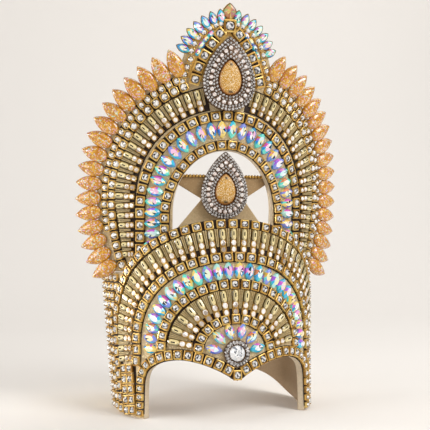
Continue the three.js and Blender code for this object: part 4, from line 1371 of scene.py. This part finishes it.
def build_iridescent_rows():
    for name, (*arch, count, kind, size) in LONG_ROWS.items():
        mesh = StoneMesh(name + "_stones")
        face = face_of(name)
        places, steps = spaced(arch_path(*arch), count)
        top = (np.arange(count) == count // 2) & (name == "crest_fan")
        places[top, 1] += CREST_TOP_LIFT
        stamp_long_stones(mesh, face, kind, places[~top], steps[~top], size)
        stamp_long_stones(mesh, face, "warm_navette", places[top], steps[top], CREST_TOP_SIZE)
        settle(mesh.build(), "iridescent_stone", name)


def stamp_long_stones(mesh, face, kind, places, steps, size):
    """Pointed stones that lie across their row."""
    across = np.stack([-steps[:, 1], steps[:, 0]], axis=-1)
    stamp_row(mesh, face, kind, places, across, size, out=LONG_STONE_SEAT)


def build_crest_trim():
    mesh = StoneMesh("crest_small_stones")
    rows = (("oval", CREST_OVALS, CREST_OVAL_SIZE), ("claw_crystal", CREST_CRYSTALS, CREST_CRYSTAL_SIZE))
    for flip in ((1, 1), (-1, 1)):
        for kind, half, size in rows:
            places = np.array(half) * flip
            stamp_row(mesh, HALO, kind, places, np.gradient(places, axis=0), size)
    settle(mesh.build(), "iridescent_stone")


# Peach stones


def model_dome(name, segments, rings):
    """The upper half of a ball, closed below."""
    deselect_all()
    bpy.ops.mesh.primitive_uv_sphere_add(segments=segments, ring_count=rings, radius=1)
    bpy.ops.object.mode_set(mode="EDIT")
    bpy.ops.mesh.select_all(action="SELECT")
    bpy.ops.mesh.bisect(plane_co=(0, 0, 0), plane_no=(0, 0, 1), use_fill=True, clear_inner=True)
    leave_edit_mode()
    return wear(name)


def peach_shape(x, y, z):
    """A leaf outline, sharp at the outer tip and blunter at the inner end, in millimetres."""
    turn = np.arctan2(y, x)
    radius = np.hypot(x, y)
    point = np.where(x > 0, PEACH_TIP_POINT, PEACH_INNER_POINT)
    half_length = sizes().peach_length / MM / 2
    half_width = sizes().peach_width / MM / 2
    wide = half_width * np.sin(turn) * np.abs(np.sin(turn)) ** point
    height = sizes().peach_depth / MM * np.maximum(z, 0) ** PEACH_FULLNESS
    along = half_length * (np.cos(turn) - PEACH_SKEW * np.sin(turn) ** 2)
    return radius * along, radius * wide, height + PEACH_BASE


def peach_tints(points):
    """Red runs from the inner end to the tip, green from the edge to the crown."""
    along, _, rise = ((points - points.min(axis=0)) / np.ptp(points, axis=0)).T
    return np.stack([along, rise, along * 0], axis=-1)


def build_peach_rim():
    first = reshape(model_dome("peach_glitter", PEACH_SEGMENTS, PEACH_RINGS), peach_shape)
    bpy.ops.object.shade_smooth_by_angle(angle=math.radians(STONE_SMOOTH_ANGLE))
    flat = points_of(first.data)
    paint_points(first.data, peach_tints(flat))
    for side, label in SIDES:
        for i, angle in enumerate(np.linspace(*PEACH_ANGLES, PEACH_PER_SIDE)):
            node = f"peach_{label}_{i + 1:02d}"
            piece = link_piece(node + "_stone", first.data.copy())
            move_points(piece.data, on_rim(flat, side, angle) * MM)
            settle(piece, "peach_stone", node)
    bpy.data.objects.remove(first)


def on_rim(points, side, angle):
    """Lays a stone's points with its inner end on the halo's face and its tip leaning forward."""
    turn, lean = math.radians(angle), math.radians(PEACH_LEAN)
    along, height = side * PEACH_REACH * math.cos(turn), HALO_CENTRE + PEACH_RISE * math.sin(turn)
    most, low, high = PEACH_SPLAY
    slant = math.atan2(math.sin(turn) / PEACH_RISE, math.cos(turn) / PEACH_REACH)
    slant -= math.radians(most) * eased((angle - low) / (high - low))
    step = np.array([[side * math.cos(slant), math.sin(slant)]])
    level, across, out = HALO.frames(np.array([[along, height]]), step)[0].T
    axis = math.cos(lean) * level + math.sin(lean) * out
    lift = math.cos(lean) * out - math.sin(lean) * level
    x, y, z = points.T[:, :, None]
    shift = sizes().peach_length / MM / 2
    return HALO.at(along, height, PEACH_SEAT) + (x + shift) * axis + y * across + z * lift


# Cloth panels


def plate(name, face, cells, front, back, cloth="glitter_cloth"):
    """A plate on a face from four-cornered cells: cloth in front, a pale edge and a plain back."""
    places, loops, index = [], [], {}
    for cell in cells:
        loop = []
        for corner in cell:
            key = tuple(np.round(corner, 3))
            if key not in index:
                index[key] = len(places)
                places.append(corner)
            loop.append(index[key])
        loops.append(loop)
    count = len(places)
    sides = {(a, b) for loop in loops for a, b in zip(loop, loop[1:] + loop[:1])}
    rim = [[a, a + count, b + count, b] for a, b in sorted(sides) if (b, a) not in sides]
    backs = [[i + count for i in reversed(loop)] for loop in loops]
    along, height = np.array(places).T
    points = np.vstack([face.at(along, height, front), face.at(along, height, back)])
    finishes = [cloth] * len(loops) + ["cloth_edge"] * len(rim) + ["cloth_inside"] * len(backs)
    piece = new_piece(name, points, loops + rim + backs, finishes)
    round_edges(piece)
    return piece


def round_edges(piece):
    deselect_all()
    piece.select_set(True)
    bpy.context.view_layer.objects.active = piece
    bevel = piece.modifiers.new("round", "BEVEL")
    bevel.width = sizes().cloth_round
    bevel.segments = 3
    bevel.limit_method = "ANGLE"
    bevel.angle_limit = math.radians(EDGE_ANGLE)
    bpy.ops.object.modifier_apply(modifier=bevel.name)
    bpy.ops.object.shade_smooth_by_angle(angle=math.radians(CLOTH_SMOOTH_ANGLE))


def brow_top(along):
    """Top edge of the brow panel: the dome, the level shoulder, then the fall to the open back."""
    along = np.abs(along)
    dome = ARCH_CENTRE + DOME_RISE * np.sqrt(np.clip(1 - (along / DOME_REACH) ** 2, 0, 1))
    fall = eased((along - girth(SHOULDER_END_ANGLE)) / girth(BROW_END_ANGLE - SHOULDER_END_ANGLE))
    return np.maximum(dome, SHOULDER_HEIGHT + fall * (BACK_TOP_HEIGHT - SHOULDER_HEIGHT))


def grid_cells(columns):
    """Cells between neighbouring columns of places, each listed anticlockwise from the front."""
    cells = []
    for left, right in zip(columns, columns[1:]):
        for k in range(min(len(left), len(right)) - 1):
            cells.append((left[k], right[k], right[k + 1], left[k + 1]))
    return cells


def build_brow_panel():
    front = spaced(lower_edge(), LOWER_EDGE_STEPS)[0]
    foot = np.array([(girth(angle), 0) for angle in np.linspace(*FOOT_ANGLES, FOOT_STEPS)])
    back = smooth_curve([(girth(angle), height) for angle, height in BACK_EDGE])
    right = np.vstack([front, foot, spaced(back, BACK_EDGE_STEPS)[0]])
    bottom = np.vstack([mirrored(right[:0:-1]), right])
    tops = np.stack([bottom[:, 0], brow_top(bottom[:, 0])], axis=-1)
    shares = np.linspace(0, 1, BROW_ROWS)[:, None]
    columns = [low + shares * (high - low) for low, high in zip(bottom, tops)]
    piece = plate("brow_panel_cloth", BROW, grid_cells(columns), 0, -BROW_THICKNESS)
    settle(piece, "fabric", "brow_panel")


def halo_outline(angle):
    """Where a ray from the halo's centre leaves the panel: the crest near the top, or the rim."""
    turn = math.radians(angle)
    x, y = math.cos(turn), math.sin(turn)
    lift = CREST_CENTRE - HALO_CENTRE
    a = (x / CREST_REACH) ** 2 + (y / CREST_RISE) ** 2
    b = y * lift / CREST_RISE**2
    root = b * b - a * ((lift / CREST_RISE) ** 2 - 1)
    crest = (b + math.sqrt(root)) / a if root > 0 and y > 0 else 0
    length = max(crest, 1 / math.hypot(x / HALO_REACH, y / HALO_RISE))
    return np.array([length * x, HALO_CENTRE + length * y])


def halo_ribs():
    """Ribs of the right half from the window to the rim, from the crest down to the hidden leg."""
    leg = (HALO_LEG_REACH - WINDOW_REACH) / (HALO_FOOT[0] - WINDOW_REACH)
    shares = [np.linspace(0, leg, HALO_LEG_STEPS), np.linspace(leg, 1, HALO_RIM_STEPS)[1:]]
    shares = np.concatenate(shares)[:, None]
    window = ellipse(WINDOW_REACH, WINDOW_RISE, WINDOW_CENTRE, 90, 0, HALO_RIBS)
    ends = [(inner, halo_outline(angle)) for inner, angle in zip(window, np.linspace(90, 0, HALO_RIBS))]
    ends += [((WINDOW_REACH, height), halo_outline(angle)) for height, angle in HALO_FOOT_RIBS]
    ends.append(((WINDOW_REACH, HALO_FOOT[1]), HALO_FOOT))
    ribs = [inner + shares * np.subtract(outer, inner) for inner, outer in ends]
    leg_end = ribs[-1][:HALO_LEG_STEPS].copy()
    leg_end[:, 1] = HALO_LEG_BOTTOM
    return [*ribs, leg_end]


def build_halo_panel():
    right = grid_cells(halo_ribs())
    left = [tuple(mirrored(cell)) for cell in right]
    cells = [ordered(cell) for cell in right + left]
    piece = plate("halo_panel_cloth", HALO, cells, 0, -HALO_THICKNESS)
    settle(piece, "fabric", "halo_panel")


def ordered(cell):
    """The cell's corners, anticlockwise."""
    x, y = np.array(cell).T
    area = np.sum(x * np.roll(y, -1) - np.roll(x, -1) * y)
    return cell if area > 0 else tuple(reversed(cell))


def build_bridge():
    levels, half_widths = np.array(BRIDGE_SECTIONS, float).T
    heights = np.unique(np.concatenate([np.linspace(levels[0], levels[-1], BRIDGE_ROWS), levels]))
    widths = np.interp(heights, levels, half_widths)
    columns = [np.stack([share * widths, heights], axis=-1) for share in np.linspace(-1, 1, BRIDGE_COLUMNS)]
    back = BRIDGE_FRONT - BRIDGE_THICKNESS
    piece = plate("medallion_bridge_cloth", HALO, grid_cells(columns), BRIDGE_FRONT, back, "bridge_cloth")
    settle(piece, "fabric", "medallion_bridge")
    mesh = StoneMesh("bridge_beads")
    for chain in BRIDGE_BEADS:
        places, steps = spaced(smooth_curve(chain), BEAD_COUNT)
        stamp_row(mesh, HALO, "gold_bead", places, steps, BEAD_SIZE, out=BRIDGE_FRONT)
    settle(mesh.build(), "gold_set_crystal")


# Medallions and the brow's rosette


def teardrop(turn, width, height, point):
    """Places round a teardrop with its point up, by angle from that point."""
    turns = np.linspace(0, 2 * np.pi, TEARDROP_SAMPLES)
    widest = np.max(np.abs(np.sin(turns) * np.abs(np.sin(turns / 2)) ** point))
    x = -np.sin(turn) * np.abs(np.sin(turn / 2)) ** point * width / (2 * widest)
    return x, np.cos(turn) * height / 2


def teardrop_path(width, height, point, shift=0.0, steps=240):
    x, y = teardrop(np.linspace(0, 2 * np.pi, steps), width, height, point)
    return np.stack([x, y + shift], axis=-1)


def build_medallion(label):
    height, width, tall, back, amber_width, amber_height = MEDALLIONS[label]
    front = back + MEDALLION_DEPTH
    rim = front - MEDALLION_RIM_DROP
    off_width, off_height, off_depth = MEDALLION_BEVEL
    mesh = StoneMesh(f"{label}_medallion_setting_paved")
    layers = [
        (width, tall, TEARDROP_POINT, 0.0, back),
        (width, tall, TEARDROP_POINT, 0.0, rim - off_depth),
        (width - off_width, tall - off_height, TEARDROP_POINT, 0.0, rim),
    ]
    for growth, rise in COLLAR:
        layers.append((amber_width + growth, amber_height + growth, AMBER_POINT, AMBER_SHIFT, front + rise))
    add_layers(mesh, layers, height)
    outer = teardrop_path(width, tall, TEARDROP_POINT)
    inner = teardrop_path(amber_width, amber_height, AMBER_POINT, AMBER_SHIFT)
    for kind, share, size, count in MEDALLION_RINGS:
        places, steps = spaced(outer + share * (inner - outer) + (0, height), count + 1)
        out = rim + share * (MEDALLION_RIM_DROP - COLLAR_DROP) - PAVED_SINK
        stamp_row(mesh, HALO, kind, places[:-1], steps[:-1], (size, size, size * PAVED_HEIGHT), out=out)
    settle(mesh.build(), "paved_grey", f"{label}_medallion_setting")
    build_amber(label)


def add_layers(mesh, layers, height, steps=72):
    """A closed skin through teardrop loops, one for each layer."""
    turn = np.linspace(0, 2 * np.pi, steps, endpoint=False)
    loops = []
    for width, tall, point, shift, out in layers:
        x, y = teardrop(turn, width, tall, point)
        loops.append(HALO.at(x, y + shift + height, out))
    faces = []
    for i in range(len(layers) - 1):
        low, high = i * steps, (i + 1) * steps
        around = [(k, (k + 1) % steps) for k in range(steps)]
        faces += [[low + k, low + after, high + after, high + k] for k, after in around]
    last = (len(layers) - 1) * steps
    faces += [list(range(steps - 1, -1, -1)), list(range(last, last + steps))]
    shades = np.full((len(faces), 3), MEDALLION_SHADE)
    mesh.add(np.vstack(loops), faces, ["paved_metal"] * len(faces), shades)


def build_amber(label):
    height, _, _, back, amber_width, amber_height = MEDALLIONS[label]
    seat = back + MEDALLION_DEPTH - AMBER_SINK

    def shape(x, y, z):
        wide, high = teardrop(np.arctan2(-x, y), amber_width, amber_height, AMBER_POINT)
        radius = np.hypot(x, y)
        return radius * wide, radius * high + AMBER_SHIFT, seat + AMBER_DOME * np.maximum(z, 0)

    piece = model_dome("amber_glitter", AMBER_SEGMENTS, AMBER_RINGS)
    rise = points_of(piece.data)[:, 2]
    x, y, z = points_of(reshape(piece, shape).data).T
    # Painted shade: points near the two holes are marked to be drawn dark
    from_hole = [np.hypot(x, y - AMBER_SHIFT - amber_height * share) for share in AMBER_HOLES]
    clear = np.min(from_hole, axis=0) > AMBER_HOLE_RADIUS
    paint_points(piece.data, np.stack([rise, clear, rise], axis=-1))
    move_points(piece.data, HALO.at(x, y + height, z) * MM)
    piece.name = f"{label}_amber_stone_dome"
    bpy.ops.object.shade_smooth_by_angle(angle=math.radians(STONE_SMOOTH_ANGLE))
    settle(piece, "amber", f"{label}_amber_stone")


def build_rosette():
    mesh = StoneMesh("brow_rosette_paved")
    ring = ellipse(ROSETTE_RADIUS, ROSETTE_RADIUS, ARCH_CENTRE, 90, 450, steps=120)
    mesh.strip(BROW, ring, **ROSETTE_BAND, name="paved_metal")
    places, steps = spaced(ring, ROSETTE_COUNT + 1)
    stamp_row(mesh, BROW, "paved", places[:-1], steps[:-1], ROSETTE_STONE, out=ROSETTE_SEAT)
    settle(mesh.build(), "paved_grey", "brow_rosette")
    mesh = StoneMesh("brow_crystal_cut")
    centre, level = np.array([[0.0, ARCH_CENTRE]]), np.array([[1.0, 0.0]])
    stamp_row(mesh, BROW, "big_crystal", centre, level, BROW_CRYSTAL, out=BROW_CRYSTAL_SEAT)
    settle(mesh.build(), "clear_crystal", "brow_crystal")


# Stage


def add_lamp(label, place, aim, size, colour, beam):
    data = bpy.data.lights.new(label + "_lamp", "AREA")
    data.energy = getattr(sizes(), label + "_power")
    data.size = size
    data.spread = math.radians(beam)
    data.color = colour
    lamp = bpy.data.objects.new(label + "_lamp", data)
    lamp.location = place
    x, y, z = np.subtract(aim, place)
    lamp.rotation_euler = (math.atan2(math.hypot(x, y), -z), 0, math.atan2(y, x) - math.pi / 2)
    lamp.visible_camera = False
    bpy.context.scene.collection.objects.link(lamp)


def build_stage():
    deselect_all()
    bpy.ops.mesh.primitive_plane_add(size=STAGE_SIZE, location=STAGE_PLACE)
    bpy.ops.object.transform_apply(location=True)
    floor = bpy.context.object
    floor.name = "stage_floor"
    pick("EDGE", lambda edge: all(floor.data.vertices[i].co.y > 0 for i in edge.vertices))
    bpy.ops.mesh.extrude_region_move(TRANSFORM_OT_translate={"value": (0, 0, STAGE_WALL)})
    leave_edit_mode()
    bend = floor.modifiers.new("sweep", "BEVEL")
    bend.width = STAGE_BEND
    bend.segments = STAGE_BEND_STEPS
    bpy.ops.object.modifier_apply(modifier=bend.name)
    bpy.ops.object.shade_smooth()
    wear("stage_paper")


def build_lights_and_camera():
    for label, looks in LAMPS.items():
        add_lamp(label, *looks)
    scene = bpy.context.scene
    scene.world = bpy.data.worlds.new("studio")
    scene.world.use_nodes = True
    sky = scene.world.node_tree.nodes["Background"].inputs
    sky["Color"].default_value = (*linear(WORLD_COLOUR), 1)
    sky["Strength"].default_value = WORLD_STRENGTH
    scene.view_settings.view_transform = "Standard"
    camera = bpy.data.objects.new("camera", bpy.data.cameras.new("camera"))
    camera.location = CAMERA_PLACE
    camera.rotation_euler = (math.radians(90), 0, math.radians(-CAMERA_TURN))
    camera.data.lens = CAMERA_LENS
    camera.data.shift_y = CAMERA_SHIFT
    camera.data.clip_start = CAMERA_CLIP
    scene.collection.objects.link(camera)
    scene.camera = camera


# Operators


class CROWN_OT_panels(bpy.types.Operator):
    """Covers the brow panel, the halo panel and the bridge with cloth"""

    bl_idname = "crown.panels"
    bl_label = "Cloth panels"

    def execute(self, context):
        build_brow_panel()
        build_halo_panel()
        build_bridge()
        return {"FINISHED"}


class CROWN_OT_set_rows(bpy.types.Operator):
    """Sets the rows of round crystals in square gold cups"""

    bl_idname = "crown.set_rows"
    bl_label = "Set crystals"

    def execute(self, context):
        build_set_rows()
        return {"FINISHED"}


class CROWN_OT_stick_rows(bpy.types.Operator):
    """Sets the rows of sticks, each a baguette and two round crystals"""

    bl_idname = "crown.stick_rows"
    bl_label = "Sticks"

    def execute(self, context):
        build_stick_rows()
        return {"FINISHED"}


class CROWN_OT_iridescent_rows(bpy.types.Operator):
    """Glues the long iridescent stones on the arches and in the fans"""

    bl_idname = "crown.iridescent_rows"
    bl_label = "Iridescent stones"

    def execute(self, context):
        build_iridescent_rows()
        build_crest_trim()
        return {"FINISHED"}


class CROWN_OT_peach_rim(bpy.types.Operator):
    """Sets the peach stones round the halo's rim"""

    bl_idname = "crown.peach_rim"
    bl_label = "Peach stones"

    def execute(self, context):
        build_peach_rim()
        return {"FINISHED"}


class CROWN_OT_medallions(bpy.types.Operator):
    """Makes both teardrop medallions and the brow's rosette"""

    bl_idname = "crown.medallions"
    bl_label = "Medallions"

    def execute(self, context):
        for label in MEDALLIONS:
            build_medallion(label)
        build_rosette()
        return {"FINISHED"}


class CROWN_OT_stage(bpy.types.Operator):
    """Sets up the floor, the lamps and the camera"""

    bl_idname = "crown.stage"
    bl_label = "Stage"

    def execute(self, context):
        build_stage()
        build_lights_and_camera()
        return {"FINISHED"}


class CROWN_PT_sidebar(bpy.types.Panel):
    bl_idname = "CROWN_PT_sidebar"
    bl_label = "Costume crown"
    bl_space_type = "VIEW_3D"
    bl_region_type = "UI"
    bl_category = "Crown"

    def draw(self, context):
        for operator in OPERATORS:
            self.layout.operator(operator.bl_idname)
        for group in (context.scene.crown_sizes, context.scene.crown_colours):
            for name in group.__annotations__:
                self.layout.prop(group, name)


OPERATORS = (
    CROWN_OT_stage, CROWN_OT_panels, CROWN_OT_set_rows, CROWN_OT_stick_rows, CROWN_OT_iridescent_rows,
    CROWN_OT_peach_rim, CROWN_OT_medallions,
)
CLASSES = (CrownSizes, CrownColours, *OPERATORS, CROWN_PT_sidebar)


def register():
    for cls in CLASSES:
        bpy.utils.register_class(cls)
    bpy.types.Scene.crown_sizes = bpy.props.PointerProperty(type=CrownSizes)
    bpy.types.Scene.crown_colours = bpy.props.PointerProperty(type=CrownColours)


def unregister():
    del bpy.types.Scene.crown_colours
    del bpy.types.Scene.crown_sizes
    for cls in reversed(CLASSES):
        bpy.utils.unregister_class(cls)


def main():
    register()
    bpy.ops.crown.stage()
    bpy.ops.crown.panels()
    bpy.ops.crown.set_rows()
    bpy.ops.crown.stick_rows()
    bpy.ops.crown.iridescent_rows()
    bpy.ops.crown.peach_rim()
    bpy.ops.crown.medallions()


if __name__ == "__main__":
    main()
